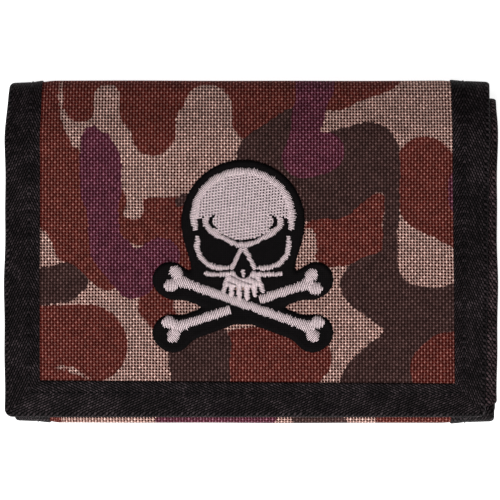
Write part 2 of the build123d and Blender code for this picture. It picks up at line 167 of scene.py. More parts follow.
def lining_in(x, s):
    return lining_out(x, s) - LINING_T


def place(x, s, n):
    """The point at x across the wallet, s along the cloth and n out from the shell's middle, in metres."""
    x, s, n = (np.asarray(a, float) for a in np.broadcast_arrays(x, s, n))
    run = np.clip(np.searchsorted(STARTS, s, side="right") - 1, 0, len(RUNS) - 1)
    bent = run % 2 == 1
    along = s - STARTS[run]
    turn = (run // 2) * math.pi / 2 + np.where(bent, along / FOLD_R, 0)
    out_y, out_z = np.sin(turn), np.cos(turn)
    reach = n + ripple(x, s) + np.where(bent, FOLD_R, 0)
    go = np.where(bent, 0, along)
    y = BASES[run, 0] + go * out_z + reach * out_y
    z = BASES[run, 1] - go * out_y + reach * out_z
    # nothing holds the flap up beyond the pockets, so it slopes down into its fold
    z = z - TOP_SAG * smooth((y - 29.5) / 15) * smooth((z - 5) / 11)
    return np.stack([x + pull(x, s), y, z], -1) * MM


def place_lining(x, s, n):
    """As place, for the lining, which turns its folds further in where it stands out at the right."""
    points = place(x, s, n)
    y = points[..., 1] / MM
    inset = np.where(s < MID_BACK, smooth((y - 33) / 11), -0.3 * smooth((-33 - y) / 11) * (s > MID_BACK))
    points[..., 1] -= LINING_INSET * MM * smooth((x - 55.5) / 6) * inset
    return points


def stations(start, end, step=2.2, bend_step=0.5):
    """Places along the strip from start to end, close together in the bends."""
    marks = [start]
    for a, b, is_bend in ((STARTS[k], STARTS[k + 1], k % 2 == 1) for k in range(len(RUNS))):
        a, b = max(a, start), min(b, end)
        if b > a:
            count = max(1, math.ceil((b - a) / (bend_step if is_bend else step)))
            marks.extend(np.linspace(a, b, count + 1)[1:])
    return np.array(marks)


# ---- materials ----
class Value:
    """An output of a material's node, that arithmetic can be written with."""

    def __init__(self, graph, socket):
        self.graph = graph
        self.socket = socket

    def __add__(self, other):
        return self.graph.math("ADD", self, other)

    def __sub__(self, other):
        return self.graph.math("SUBTRACT", self, other)

    def __mul__(self, other):
        return self.graph.math("MULTIPLY", self, other)

    def __mod__(self, other):
        return self.graph.math("FLOORED_MODULO", self, other)

    def __pow__(self, other):
        return self.graph.math("POWER", self, other)

    def __abs__(self):
        return self.graph.math("ABSOLUTE", self)


def rgba(color):
    """A colour as its socket takes it; a node's output stays as it is."""
    return (*color, 1.0) if isinstance(color, tuple) else color


class Graph:
    """A material's nodes."""

    def __init__(self, name, solid=False):
        self.material = bpy.data.materials.new(name)
        self.material.use_nodes = True
        self.tree = self.material.node_tree
        self.tree.nodes.clear()
        # both are in millimetres: places on the cloth, or in the solid
        if solid:
            self.uv = self.scaled(self.value("ShaderNodeTexCoord", output="Object"), 1 / MM)
        else:
            self.uv = self.value("ShaderNodeUVMap", uv_map="cloth")

    def feed(self, value, socket):
        """Sets or links an input; None leaves it as it is."""
        if isinstance(value, Value):
            self.tree.links.new(value.socket, socket)
        elif value is not None:
            socket.default_value = value

    def node(self, kind, *values, **settings):
        """A new node, with values in its first inputs."""
        made = self.tree.nodes.new(kind)
        for key, setting in settings.items():
            setattr(made, key, setting)
        for value, socket in zip(values, made.inputs):
            self.feed(value, socket)
        return made

    def value(self, kind, *values, output=0, **settings):
        return Value(self, self.node(kind, *values, **settings).outputs[output])

    def math(self, operation, *values):
        return self.value("ShaderNodeMath", *values, operation=operation)

    def vector(self, *values):
        return self.value("ShaderNodeCombineXYZ", *values)

    def scaled(self, vector, x, y=None):
        return self.value("ShaderNodeVectorMath", vector, (x, x if y is None else y, x), operation="MULTIPLY")

    def split(self, vector):
        made = self.node("ShaderNodeSeparateXYZ", vector)
        return Value(self, made.outputs[0]), Value(self, made.outputs[1])

    def step(self, value, low, high, first=0.0, last=1.0):
        """Goes smoothly from first to last as value goes from low to high."""
        ends = low, high, first, last
        return self.value("ShaderNodeMapRange", value, *ends, interpolation_type="SMOOTHSTEP")

    def noise(self, vector, scale, detail=2.0):
        return self.value("ShaderNodeTexNoise", vector, None, scale, detail)

    def speck(self, cell):
        """A random value for each whole place."""
        return self.value("ShaderNodeTexWhiteNoise", cell, noise_dimensions="2D")

    def blend(self, factor, first, second):
        return self.value("ShaderNodeMix", factor, None, first, second, data_type="FLOAT")

    def mix(self, factor, first, second, blend="MIX"):
        inputs = [factor, *[None] * 5, rgba(first), rgba(second)]
        return self.value("ShaderNodeMix", *inputs, output=2, data_type="RGBA", blend_type=blend)

    def finish(self, color, shade, roughness, height, depth, gloss=0.5, **others):
        """The material: color darkened by shade, and embossed by height times depth, in millimetres."""
        shader = self.node("ShaderNodeBsdfPrincipled")
        bump = self.value("ShaderNodeBump", None, depth * MM, None, height)
        inputs = {
            "Base Color": self.mix(1.0, color, self.vector(shade, shade, shade), "MULTIPLY"),
            "Roughness": roughness,
            "Specular IOR Level": gloss,
            "Normal": bump,
            **{key.replace("_", " "): value for key, value in others.items()},
        }
        for key, value in inputs.items():
            self.feed(value, shader.inputs[key])
        self.node("ShaderNodeOutputMaterial", Value(self, shader.outputs[0]))
        return self.material


# a tube's second coordinate is its angle round the tube, times this
WOUND = 0.15


def plain_weave(g, pitch, narrow, slant=0.0):
    """Heights of a plain weave's warp and weft, 0 in the pits to about 1 on the crossings, and the cell."""
    wobble = g.noise(g.uv, 0.09, 3.0)
    x, y = g.split(g.scaled(g.uv, 1 / pitch))
    x += wobble * 0.5
    y += wobble * -0.6
    i, j = g.math("FLOOR", x), g.math("FLOOR", y)
    in_x, in_y = x - i - 0.5, y - j - 0.5
    round_x, round_y = (
        g.math("MAXIMUM", g.math("COSINE", side * (math.pi * narrow)), 0.0) ** 0.7
        for side in (in_y * -slant + in_x, in_y)
    )
    # the warp is on top in every other cell
    turn = (i + j) % 2.0 * -2.0 + 1.0
    warp = turn * round_y * 0.42 + round_x * 0.6
    weft = turn * round_x * -0.42 + round_y * 0.6
    return warp, weft, g.vector(i, j)


def camouflage_cloth():
    """Coarse oxford cloth with the camouflage printed on its threads."""
    g = Graph("camouflage_cloth")
    warp, weft, cell = plain_weave(g, 0.80, 1.8, 0.12)
    height = g.math("MAXIMUM", warp, weft)
    ragged = (g.speck(cell) - 0.5) * 0.4
    pits, ground, painted_highlight = SAND
    for name, paint in PRINTS:
        field = g.value("ShaderNodeAttribute", output="Fac", attribute_name=name)
        printed = g.step(field + ragged, -0.12, 0.12, 1.0, 0.0)
        pits, ground, painted_highlight = (g.mix(printed, old, new) for old, new in zip((pits, ground, painted_highlight), paint))
    # painted highlights where the threads cross, most of all on the warp's floats, and painted shade in the
    # pits between them
    color = g.mix(g.step(warp, 0.38, 0.92), g.mix(g.step(height, 0.28, 0.6), pits, ground), painted_highlight)
    across, along = g.noise(g.scaled(g.uv, 9, 0.8), 1.0), g.noise(g.scaled(g.uv, 0.8, 9), 1.0)
    filaments = g.blend(g.step(weft, 0.5, 0.7), across, along)
    uneven = g.step(g.noise(g.uv, 0.35, 3.0), 0.3, 0.7, 0.86, 1.12)
    thread = g.step(g.speck(cell), 0.0, 1.0, 0.8, 1.18)
    shade = uneven * thread * g.step(filaments, 0.3, 0.7, 0.85, 1.15)
    return g.finish(color, shade, 0.75, filaments * 0.14 + height, 0.16, gloss=0.03)


def black_weave(name, pitch, color, roughness, depth):
    """Thin plain-woven nylon."""
    g = Graph(name)
    warp, weft, cell = plain_weave(g, pitch, 1.0)
    height = g.math("MAXIMUM", warp, weft)
    worn = g.step(g.noise(g.uv, 0.3, 4.0), 0.35, 0.75, 0.88, 1.15)
    thread = g.step(g.speck(cell), 0.0, 1.0, 0.85, 1.15)
    # painted shade in the pits between the threads
    shade = g.step(height, 0.25, 0.85, 0.45, 1.0) * worn * thread
    return g.finish(color, shade, roughness, height, depth, gloss=0.08)


def twill_tape(name, color):
    """Black herringbone: slanting ridges of short floats, that turn back near the selvedge."""
    g = Graph(name)
    u, v = g.split(g.uv)
    v = abs(abs(v) - 6.4)
    # 0.6 mm from ridge to ridge, and a float 0.95 mm long
    ridge = g.noise(g.uv, 0.16, 3.0) * 0.7 + (u * (-0.42 / 0.6) + v * (-0.91 / 0.6))
    row = g.math("FLOOR", ridge)
    across = abs(g.math("SINE", ridge * math.pi))
    along = row * 0.5 + (u * (0.91 / 0.95) + v * (-0.42 / 0.95))
    floats = abs(g.math("SINE", along * math.pi))
    height = across**0.8 * (floats * 0.5 + 0.5)
    glint = g.speck(g.vector(row, g.math("FLOOR", along))) ** 2.0 * 1.5 + 0.7
    # large patches of uneven tone and painted sheen
    patchy_tone_and_sheen = g.step(g.noise(g.uv, 0.09, 3.0), 0.35, 0.7, 0.65, 1.35)
    # painted shade in the grooves and a painted highlight on the floats' tops, with painted glints
    shade = g.step(height, 0.34, 0.95, 0.0, 3.0) * (glint * patchy_tone_and_sheen)
    return g.finish(color, shade, 0.5, height, 0.13, gloss=0.035)


def yarn(name, color, roughness, gloss, shaded=0.0):
    """Twisted thread: fine strands that wind round it, with painted shade between the strands, and painted
    shade on its sides as deep as shaded says.
    """
    g = Graph(name)
    u, v = g.split(g.uv)
    height = g.math("SINE", u * 9.0 + v * 6.0) * 0.5 + 0.5
    uneven = g.step(g.noise(g.uv, 0.7), 0.3, 0.7, 0.8, 1.08)
    # painted shade: the tube's sides are darker than its top
    side = g.step(g.math("SINE", v * (1 / WOUND)), 0.1, 0.8, 1.0 - shaded, 1.0)
    shade = g.step(height, 0.0, 1.0, 0.8, 1.0) * uneven * side
    return g.finish(color, shade, roughness, height, 0.03, gloss)


def moulded(name, color, roughness, grain=3.0, depth=0.02, **others):
    """Cast or moulded, with a fine grain."""
    g = Graph(name, solid=True)
    height = g.noise(g.uv, grain, 3.0)
    shade = g.step(g.noise(g.uv, 0.4), 0.3, 0.7, 0.85, 1.15)
    rough = g.step(height, 0.3, 0.7, roughness * 0.8, roughness * 1.2)
    return g.finish(color, shade, rough, height, depth, **others)


# each print's colour: with painted shade in the pits, on the threads, and with a painted highlight on the
# warp's floats
SAND = ((0.018, 0.002, 0.0015), (0.40, 0.225, 0.19), (0.84, 0.59, 0.52))
BROWN = ((0.042, 0.0018, 0.001), (0.112, 0.0255, 0.0185), (0.335, 0.148, 0.128))
GREY = ((0.018, 0.007, 0.006), (0.046, 0.0215, 0.0195), (0.145, 0.088, 0.083))
PLUM = ((0.032, 0.0018, 0.006), (0.098, 0.0235, 0.039), (0.305, 0.135, 0.182))
PRINTS = (("brown", BROWN), ("grey", GREY), ("plum", PLUM), ("sand", SAND), ("rust", BROWN))
CLOTH = camouflage_cloth()
LINING = black_weave("lining_nylon", 0.34, (0.022, 0.021, 0.024), 0.5, 0.06)
PATCH_CLOTH = black_weave("patch_twill", 0.5, (0.003, 0.0022, 0.0025), 0.85, 0.08)
TAPE = twill_tape("twill_tape", (0.0075, 0.0056, 0.0062))
# the same tape made lighter: painted sheen for the light its edge catches
SHEENED_LINING_TAPE = twill_tape("lining_tape", (0.017, 0.0112, 0.0122))
THREAD = yarn("black_thread", (0.006, 0.005, 0.006), 0.5, 0.1)
WHITE_THREAD = yarn("white_thread", (0.90, 0.73, 0.755), 0.5, 0.2, 0.8)
HOOK = moulded("hook_nylon", (0.02, 0.02, 0.022), 0.35)
LOOP = yarn("loop_pile", (0.02, 0.019, 0.021), 0.6, 0.5)
COIL = moulded("zip_nylon", (0.028, 0.028, 0.031), 0.32)
ENAMEL = moulded("enamelled_zinc", (0.025, 0.025, 0.027), 0.28, 2.0, 0.01, Coat_Weight=0.4)
VINYL = moulded("clear_vinyl", (0.5, 0.52, 0.53), 0.12, 0.08, 0.2, Alpha=0.16, IOR=1.5)


# ---- meshes ----
def quads(near, far, wrap):
    """What the corners of each face have, of a grid [..., row, column, value]: near is it as the faces after
    a row see it, and far as the faces before that row do."""
    if wrap:
        near, far = (np.concatenate([a, a[..., :1, :]], -2) for a in (near, far))
    corners = near[..., :-1, :-1, :], near[..., :-1, 1:, :], far[..., 1:, 1:, :], far[..., 1:, :-1, :]
    return np.stack(corners, -2)


class Piece:
    """Collects grids of points, and makes one object of them."""

    def __init__(self, name):
        self.name = name
        self.points, self.faces, self.uvs, self.slots, self.materials = [], [], [], [], []
        self.fields, self.count = {}, 0

    def add_faces(self, faces, uvs, material):
        if material not in self.materials:
            self.materials.append(material)
        self.faces.extend(faces)
        self.uvs.append(uvs)
        self.slots.extend([self.materials.index(material)] * len(faces))

    def grid(self, points, uv, material, wrap=False, caps=False, uv_last=None, fields=None):
        """Quads over points[..., row, column], closed round the columns if wrap, and at both ends if caps.
        uv is each row's as the faces after it see it, and uv_last as those before it do, if they differ."""
        at = self.count + np.arange(points[..., 0].size).reshape(points.shape[:-1])
        faces = quads(at[..., None], at[..., None], wrap).reshape(-1, 4)
        loops = quads(uv, uv if uv_last is None else uv_last, wrap).reshape(-1, 2)
        self.points.append(points.reshape(-1, 3))
        self.add_faces(faces.tolist(), loops, material)
        self.count += at.size
        for key, value in (fields or {}).items():
            self.fields.setdefault(key, []).append(value.ravel())
        if caps:
            for row, seen in ((at[0], uv[0]), (at[-1], uv[-1])):
                self.add_faces([row.tolist()], seen, material)

    def build(self, merge=False, sharp=50):
        """The object, with its points merged where grids meet, and its edges sharp from that many degrees."""
        mesh = bpy.data.meshes.new(self.name)
        mesh.from_pydata(np.concatenate(self.points).tolist(), [], self.faces)
        for material in self.materials:
            mesh.materials.append(material)
        mesh.polygons.foreach_set("material_index", self.slots)
        layer = mesh.uv_layers.new(name="cloth")
        layer.data.foreach_set("uv", np.concatenate(self.uvs).astype(np.float32).ravel())
        for key, values in self.fields.items():
            attribute = mesh.attributes.new(key, "FLOAT", "POINT")
            attribute.data.foreach_set("value", np.concatenate(values).astype(np.float32))
        tidy = bmesh.new()
        tidy.from_mesh(mesh)
        if merge:
            bmesh.ops.remove_doubles(tidy, verts=tidy.verts, dist=1e-7)
        bmesh.ops.recalc_face_normals(tidy, faces=tidy.faces)
        tidy.to_mesh(mesh)
        tidy.free()
        mesh.polygons.foreach_set("use_smooth", [True] * len(mesh.polygons))
        mesh.set_sharp_from_angle(angle=math.radians(sharp))
        made = bpy.data.objects.new(self.name, mesh)
        bpy.context.scene.collection.objects.link(made)
        return made


def attach(made, body, slot, *nodes):
    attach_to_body(made, body)
    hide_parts(*nodes)


# each stretch's crease, and how far the bending reaches from it into the panel and into the fold; that ends
# short of the fold's middle, where two stretches meet
FOLDS = {
    "front": (TOP_Y, FRONT_Z, -2.8, -3.2),
    "top": (TOP_Y, BACK_Z, -2.8, 3.2),
    "bottom": (BOTTOM_Y, BACK_Z, 1.5, 1.9),
    "inner": (BOTTOM_Y, INNER_Z, 1.5, -1.9),
}


def bend(made, stretch, slot, *nodes):
    """Works out where made would bend at the fold of its stretch, which is not used; bakes made's place into
    its points and hides the CAD's parts that it stands for.
    """
    y, z, into_panel, into_fold = FOLDS[stretch]
    panel_end = (0, (y + into_panel) * MM, z * MM)
    fold_end = (0, y * MM, (z + into_fold) * MM)
    ends = (fold_end, panel_end) if stretch in ("front", "inner") else (panel_end, fold_end)
    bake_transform(made)
    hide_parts(*nodes)


def distances(line):
    """How far along it each of a line's points is."""
    return np.concatenate([[0], np.cumsum(np.linalg.norm(np.diff(line, axis=0), axis=1))])


def at_marks(marks, along, line):
    """The points of a line at marks, where its own points are at along."""
    return np.stack([np.interp(marks, along, values) for values in line.T], -1)


def tubes(piece, centre, radius, up, uv, material, sides=6):
    """Tubes along centre[tube, step], with radius[tube, step] in millimetres and a rough upward direction."""
    up = np.broadcast_to(np.asarray(up, float), centre.shape)
    tangent = np.gradient(centre, axis=1)
    tangent /= np.maximum(np.linalg.norm(tangent, axis=-1, keepdims=True), 1e-12)
    side = np.cross(tangent, up)
    side /= np.maximum(np.linalg.norm(side, axis=-1, keepdims=True), 1e-12)
    top = np.cross(side, tangent)
    angle = np.linspace(0, 2 * math.pi, sides, endpoint=False)
    around = side[:, :, None] * np.cos(angle)[:, None] + top[:, :, None] * np.sin(angle)[:, None]
    reach = np.broadcast_to(np.asarray(radius) * MM, centre.shape[:2])
    points = centre[:, :, None] + around * reach[:, :, None, None]
    along = np.broadcast_to(np.asarray(uv, float)[..., None], points.shape[:3])
    wound = np.broadcast_to(angle * WOUND, points.shape[:3])
    piece.grid(points, np.stack([along, wound], -1), material, wrap=True)


def stitches(piece, a, b, radius, crown, material, locate=place, steps=6, tip=0.55):
    """Yarns from a to b, in locate's coordinates. Each rises by crown, and its ends are tip times as wide."""
    t = np.linspace(0, 1, steps)
    line = a[:, None] * (1 - t)[:, None] + b[:, None] * t[:, None]
    arch = np.sin(t * math.pi) ** 0.6
    line[..., 2] += np.broadcast_to(np.reshape(crown, (-1, 1)), line.shape[:2]) * arch
    x, s, n = np.moveaxis(line, -1, 0)
    centre = locate(x, s, n)
    up = locate(x, s, n + 1) - centre
    length = np.linalg.norm(b - a, axis=1)[:, None] * t
    full = tip + (1 - tip) * np.sin(t * math.pi) ** 0.4
    tubes(piece, centre, radius * full, up, length + RANDOM.random((len(a), 1)) * 9, material)


NARROW_SEAM = {"spacing": 2.6, "radius": 0.13, "crown": 0.12}


def seam(piece, path, locate=place, spacing=3.0, radius=0.17, crown=0.16):
    """A sewn line along path[point, 3]: one stitch, a needle hole, the next stitch."""
    along = distances(path)
    count = max(1, round(along[-1] / spacing))
    marks = np.linspace(0, along[-1], count + 1)
    gap = 0.1 * spacing
    first, last = at_marks(marks[:-1] + gap, along, path), at_marks(marks[1:] - gap, along, path)
    stitches(piece, first, last, radius, crown, THREAD, locate, tip=0.02)


# ---- camouflage: blobs in cloth coordinates, each (x, s) to (x, s) with a radius ----
BLOBS = {
    "brown": [
        (-57, 60, -56.5, 30, 6.4), (-55, 31, -49.5, 24.5, 4.6), (-54, 22, -50, 12, 8.0),
        (-50, 12, -46, 2, 6.0),
        (-46, 1, -38, -6, 4.0), (-45.6, 60, -45.6, 38.3, 4.1), (-70, 46.6, -4, 46.6, 8.0),
        (-26.5, 60, -26.3, 42, 8.1), (-26.2, 42, -25.6, 31, 5.7), (-30, 55, -28.5, 38, 6.2),
        (0, 60, 2, 36.2, 7.6), (0, 50, 22, 44.5, 7.2), (0, 43, 9, 40.5, 6.0), (22, 45, 34, 48, 6.2),
        (46, 22.5, 47, 13, 7.8), (45, 13, 58, 5, 6.0), (60, 20, 60, 6, 7.0),
        (20, 4, 28.5, 7.4, 5.6), (24, -0.5, 33, 3.0, 3.2), (29.5, 7.5, 31.6, 12.4, 2.7),
        (29.5, 8, 30.5, 3, 4.6), (31.2, 8, 33.4, 12.6, 2.7), (18, 5, 20.8, 0, 4.2),
        (-58, -24, -42.7, -24.3, 10.2), (-33, 8, -28, 7, 3.4), (-34.2, 14.5, -34, 9, 2.0),
        (-29, 8, -19, 8, 6.5),
        (-20.5, 4, -19.5, -4, 4.4), (-24, -8, -25.4, -13.5, 4.4), (-25.4, -14, -23.5, -17.5, 3.6),
        (-2, -28, 13, -28.2, 8.1),
    ],
    "grey": [
        (1.2, 25.4, 11.5, 33.2, 5.2), (8, 22, 14, 16, 8.0), (14, 17.2, 22, 17, 7.6), (22, 17, 31, 24, 7.8),
        (22, 24, 31, 27, 7.5), (32, 26.5, 32.6, 22.8, 7.1), (36.9, 20, 37.2, -2, 2.0),
        (29, -8.5, 37, -4.5, 5.2), (32.4, -8.6, 46, -18, 8.1), (50, -17, 64, -16.4, 8.8),
        (33.5, -35, 45, -27, 9.9),
        (-60, -9.3, -49.3, -8.6, 4.8), (-49, -6, -45.8, -8.0, 3.0), (-14, -26.5, -13, -36, 7.6),
        (-11.5, -24, -13, -30, 6.2), (-19, 13.2, -17, 14, 1.3),
    ],
    "plum": [
        (-41.2, 29.6, -40.6, 26, 4.0), (-39.8, 24.5, -39.5, 16, 5.3), (-39.3, 14, -38.5, 1, 4.3),
        (-36, -1, -31, -7, 5.2), (-30, -6, -23.5, -1, 4.9), (17.2, 60, 17.2, 44, 5.2), (17, 44, 15, 36, 4.3),
        (15.2, 37, 13.6, 30, 3.6), (13.7, 24.9, 19.2, 26.2, 5.3), (57, 18, 57, 13, 4.6),
    ],
    "sand": [
        (-50.9, 60, -50.6, 41, 0.5), (-50.6, 41, -50.0, 36, 0.62), (-49.4, 35, -47.5, 31.5, 0.9),
        (-47.2, 32, -46.4, 28.6, 1.3), (-38.1, 35, -38.1, 40.9, 3.35), (-11.6, 28, -11.5, 37.4, 6.8),
        (-33.4, 20, -32.6, 16, 1.0), (-31.2, 20, -30.4, 11.2, 2.1),
        (-32.4, 9.8, -30.6, 9.6, 1.1), (-50.5, -30.3, -46.6, -31.0, 0.6), (-46.6, -31.0, -42.6, -33.2, 0.42),
        (45.2, -3.0, 48.6, -3.4, 6.3), (41, -1, 40.2, 5.5, 1.6), (14.6, 4, 15.2, 0, 2.2),
    ],
    "rust": [(52.2, -31.2, 64, -31.2, 9.9)],
}
# the lower fold shows only its upper bend in the photographed view
STRIP = STARTS[7] + 1.6
BELOW = STRIP - 8.5
BLOBS["plum"] += [(-22, STRIP, 3, STRIP + 1, 3.6), (26, BELOW - 1.5, 36, BELOW, 3.8)]
BLOBS["grey"] += [
    (14, STRIP, 23, STRIP - 1, 3.0), (-63, BELOW - 1, -50, BELOW, 4.2), (44, BELOW - 1, 57, BELOW, 4.4),
]
BLOBS["brown"] += [
    (37, STRIP, 64, STRIP, 4.0), (-68, STRIP, -55, STRIP, 4.0), (-44, BELOW, -22, BELOW + 0.5, 5.0),
    (-6, BELOW - 2, 14, BELOW - 0.5, 5.2),
]


def wander(colour, count, radius):
    """More blobs for the cloth that the photograph doesn't show, in the same manner."""
    for _ in range(count):
        x = RANDOM.uniform(-62, 62)
        s = RANDOM.uniform(STARTS[2] + 4, END)
        heading = RANDOM.uniform(0, 2 * math.pi)
        for _ in range(RANDOM.integers(2, 4)):
            step = RANDOM.uniform(6, 13)
            next_x, next_s = x + step * math.cos(heading), s + step * math.sin(heading)
            r = radius * RANDOM.uniform(0.75, 1.25)
            clear_of_strip = abs((s + next_s) / 2 - STRIP) > 6 + r
            if clear_of_strip and min(s, next_s) - r > STARTS[1] + 6:
                BLOBS[colour].append((x, s, next_x, next_s, r))
            x, s = next_x, next_s
            heading += RANDOM.uniform(-1.3, 1.3)


wander("brown", 28, 6.8)
wander("grey", 17, 6.4)
wander("plum", 9, 4.7)


def camouflage(x, s):
    """For each colour, how far a point is from its blobs' edge in millimetres, negative inside."""
    ripple_x = 0.25 * np.sin(s / 4.3 + x / 5)
    ripple_s = 0.25 * np.sin(x / 3.7 + s / 6)
    px, ps = x + ripple_x, s + ripple_s
    fields = {}
    for colour, blobs in BLOBS.items():
        nearest = np.full(np.shape(px), 50.0)
        for ax, a_s, bx, bs, r in blobs:
            dx, ds = bx - ax, bs - a_s
            t = np.clip(((px - ax) * dx + (ps - a_s) * ds) / (dx * dx + ds * ds), 0, 1)
            away = np.hypot(px - ax - t * dx, ps - a_s - t * ds) - r
            # a smooth union, so that neighbouring blobs flow together
            share = np.clip(0.5 + (nearest - away) / 3.0, 0, 1)
            nearest = nearest * (1 - share) + away * share - 1.5 * share * (1 - share)
        fields[colour] = nearest
    return fields


# ---- shell and lining ----
def edge_ring(x0, x1, step):
    """A closed section of a sheet: x across it, and c from -1 on its inner face to 1 on its outer face."""
    across = np.linspace(x0, x1, max(2, round((x1 - x0) / step)) + 1)
    turn = np.linspace(math.pi / 2, -math.pi / 2, 5)[1:-1]
    x = np.concatenate([across, x1 + 0.3 * np.cos(turn), across[::-1], x0 - 0.3 * np.cos(turn)])
    c = np.concatenate([np.ones(len(across)), np.sin(turn), -np.ones(len(across)), -np.sin(turn)])
    return x, c


def cad_nodes(stretch, part):
    return [panel + "_" + part for panel in PANELS[stretch]]


def make_layer(kind, stretch):
    """One stretch of the shell or of the lining, whose edges are hidden in the tapes."""
    is_shell = kind == "shell"
    right, steps = (SHELL_RIGHT, (1.0, 0.42)) if is_shell else (RIGHT, TAPE_STEPS)
    start, end = STRETCHES[stretch][:2]
    start, end = max(start, FRONT_END + TAPE_T), min(end, END - TAPE_T)
    x, c = edge_ring(LEFT + TAPE_T + 0.2, right - TAPE_T - 0.2, 1.0 if is_shell else 2.0)
    xx, ss = np.meshgrid(x, stations(start, end, *steps))
    if is_shell:
        ss = ended(ss, corner(xx, x.min(), x.max()))
        points = place(xx, ss, np.broadcast_to(c * SHELL_T / 2, xx.shape))
        fields = camouflage(xx, ss)
    else:
        ss = ended(ss, corner(xx, x.min(), RIGHT) + 3.2 * smooth((xx - 57) / 4))
        # a little nearer the shell under the left tape, so that it stays inside the tape where both bend
        under_tape = smooth((LEFT + TAPE_WIDTH - 0.3 - xx) / 0.6)
        middle = (lining_out(xx, ss) + lining_in(xx, ss)) / 2 + 0.2 * under_tape
        points = place_lining(xx, ss, middle + c * LINING_T / 2)
        fields = None
    piece = Piece(kind + "_" + stretch)
    uv = np.stack([xx, ss], -1)
    piece.grid(points, uv, CLOTH if is_shell else LINING, wrap=True, caps=True, fields=fields)
    made = piece.build(sharp=70)
    bend(made, stretch, "camo_fabric" if is_shell else "lining_fabric", *cad_nodes(stretch, kind))
    (end - start) * MM


# ---- binding tape ----
def tape_section():
    """A folded tape's closed section, as rows of its distance in from the edge, its side (1 on the outer leg
    and -1 on the inner leg), its thickness there and the place across the tape."""
    across = np.linspace(TAPE_WIDTH - 0.5, 1.2, 13)
    leg = []
    for d in across:
        groove = 0.13 * math.exp(-(((d - (TAPE_WIDTH - SEWN_IN)) / 0.45) ** 2))
        leg.append((d, 1, TAPE_T - groove + 0.05 * math.sin(math.pi * d / TAPE_WIDTH), d))
    edge = [(TAPE_WIDTH, 1, 0.06, TAPE_WIDTH), (TAPE_WIDTH, 1, 0.26, TAPE_WIDTH)]
    edge.append((TAPE_WIDTH - 0.12, 1, 0.37, TAPE_WIDTH - 0.12))
    turn = np.linspace(math.pi / 2, 0, 6)[1:]
    wrap = [(1.1 * (1 - math.cos(t)), math.sin(t), TAPE_T, 1.1 * math.sin(t)) for t in turn]
    outer = edge + leg + wrap
    back = [(d, -side, thick, -v) for d, side, thick, v in outer[-2::-1]]
    inner = ((TAPE_WIDTH, -1), (1.2, -1), (TAPE_T, 0), (1.2, 1), (TAPE_WIDTH, 1))
    return np.array(outer + back + [(d, side, 0.0, side * d) for d, side in inner])


SECTION = tape_section()
# each straight tape: what it lies on, its edge's place across the wallet and the way from it into the wallet
TAPES = {"left": ("both", LEFT, 1), "right": ("shell", SHELL_RIGHT, -1), "lining": ("lining", RIGHT, -1)}


def tape_levels(kind, x, s):
    """The outer and inner faces that a tape lies on: of the shell, of the lining, or of both together."""
    if kind == "lining":
        return lining_out(x, s), lining_in(x, s)
    shell_face = np.full(np.shape(x), SHELL_T / 2)
    return shell_face, (lining_in(x, s) if kind == "both" else -shell_face)


def tape_points(x, s, top, low, thick, locate=place):
    """The section's points at x and s, round what lies between top and low."""
    side = SECTION[:, 1]
    return locate(x, s, (top + low) / 2 + side * (top - low) / 2 + side * thick)


def sew(piece, kind, x, s, locate=place):
    """A line of stitches along a tape, sunk a little into both of its faces."""
    x, s = np.broadcast_arrays(np.asarray(x, float), s)
    top, low = tape_levels(kind, x, s)
    for n in (top + TAPE_T - 0.12, low - TAPE_T - 0.04):
        seam(piece, np.stack([x, s, n], -1), locate)


def make_edge_tape(side, stretch):
    """A tape along a straight edge, that stops where the free edges' bindings cover it."""
    kind, edge, inward = TAPES[side]
    is_lining = kind == "lining"
    locate = place_lining if is_lining else place
    start, end = STRETCHES[stretch][:2]
    start, end = max(start, FRONT_END + 3.1), min(end, END - 3.1)
    s = stations(start, end, *TAPE_STEPS)
    x = np.broadcast_to(edge + inward * SECTION[:, 0], (len(s), len(SECTION)))
    ss = np.broadcast_to(s[:, None], x.shape)
    if is_lining:
        ss = ended(ss, corner(x, LEFT, RIGHT))
    piece = Piece("tape_" + side + "_" + stretch)
    points = tape_points(x, ss, *tape_levels(kind, x, ss), SECTION[:, 2], locate)
    uv = np.stack([ss, np.broadcast_to(SECTION[:, 3], x.shape)], -1)
    piece.grid(points, uv, SHEENED_LINING_TAPE if is_lining else TAPE, wrap=True, caps=True)
    sew(piece, kind, edge + inward * (TAPE_WIDTH - SEWN_IN), stations(start, end, *SEWN_STEPS), locate)
    made = piece.build()
    bend(made, stretch, "binding_tape", *cad_nodes(stretch, "lining_tape" if is_lining else "tape_" + side))
    (end - start) * MM


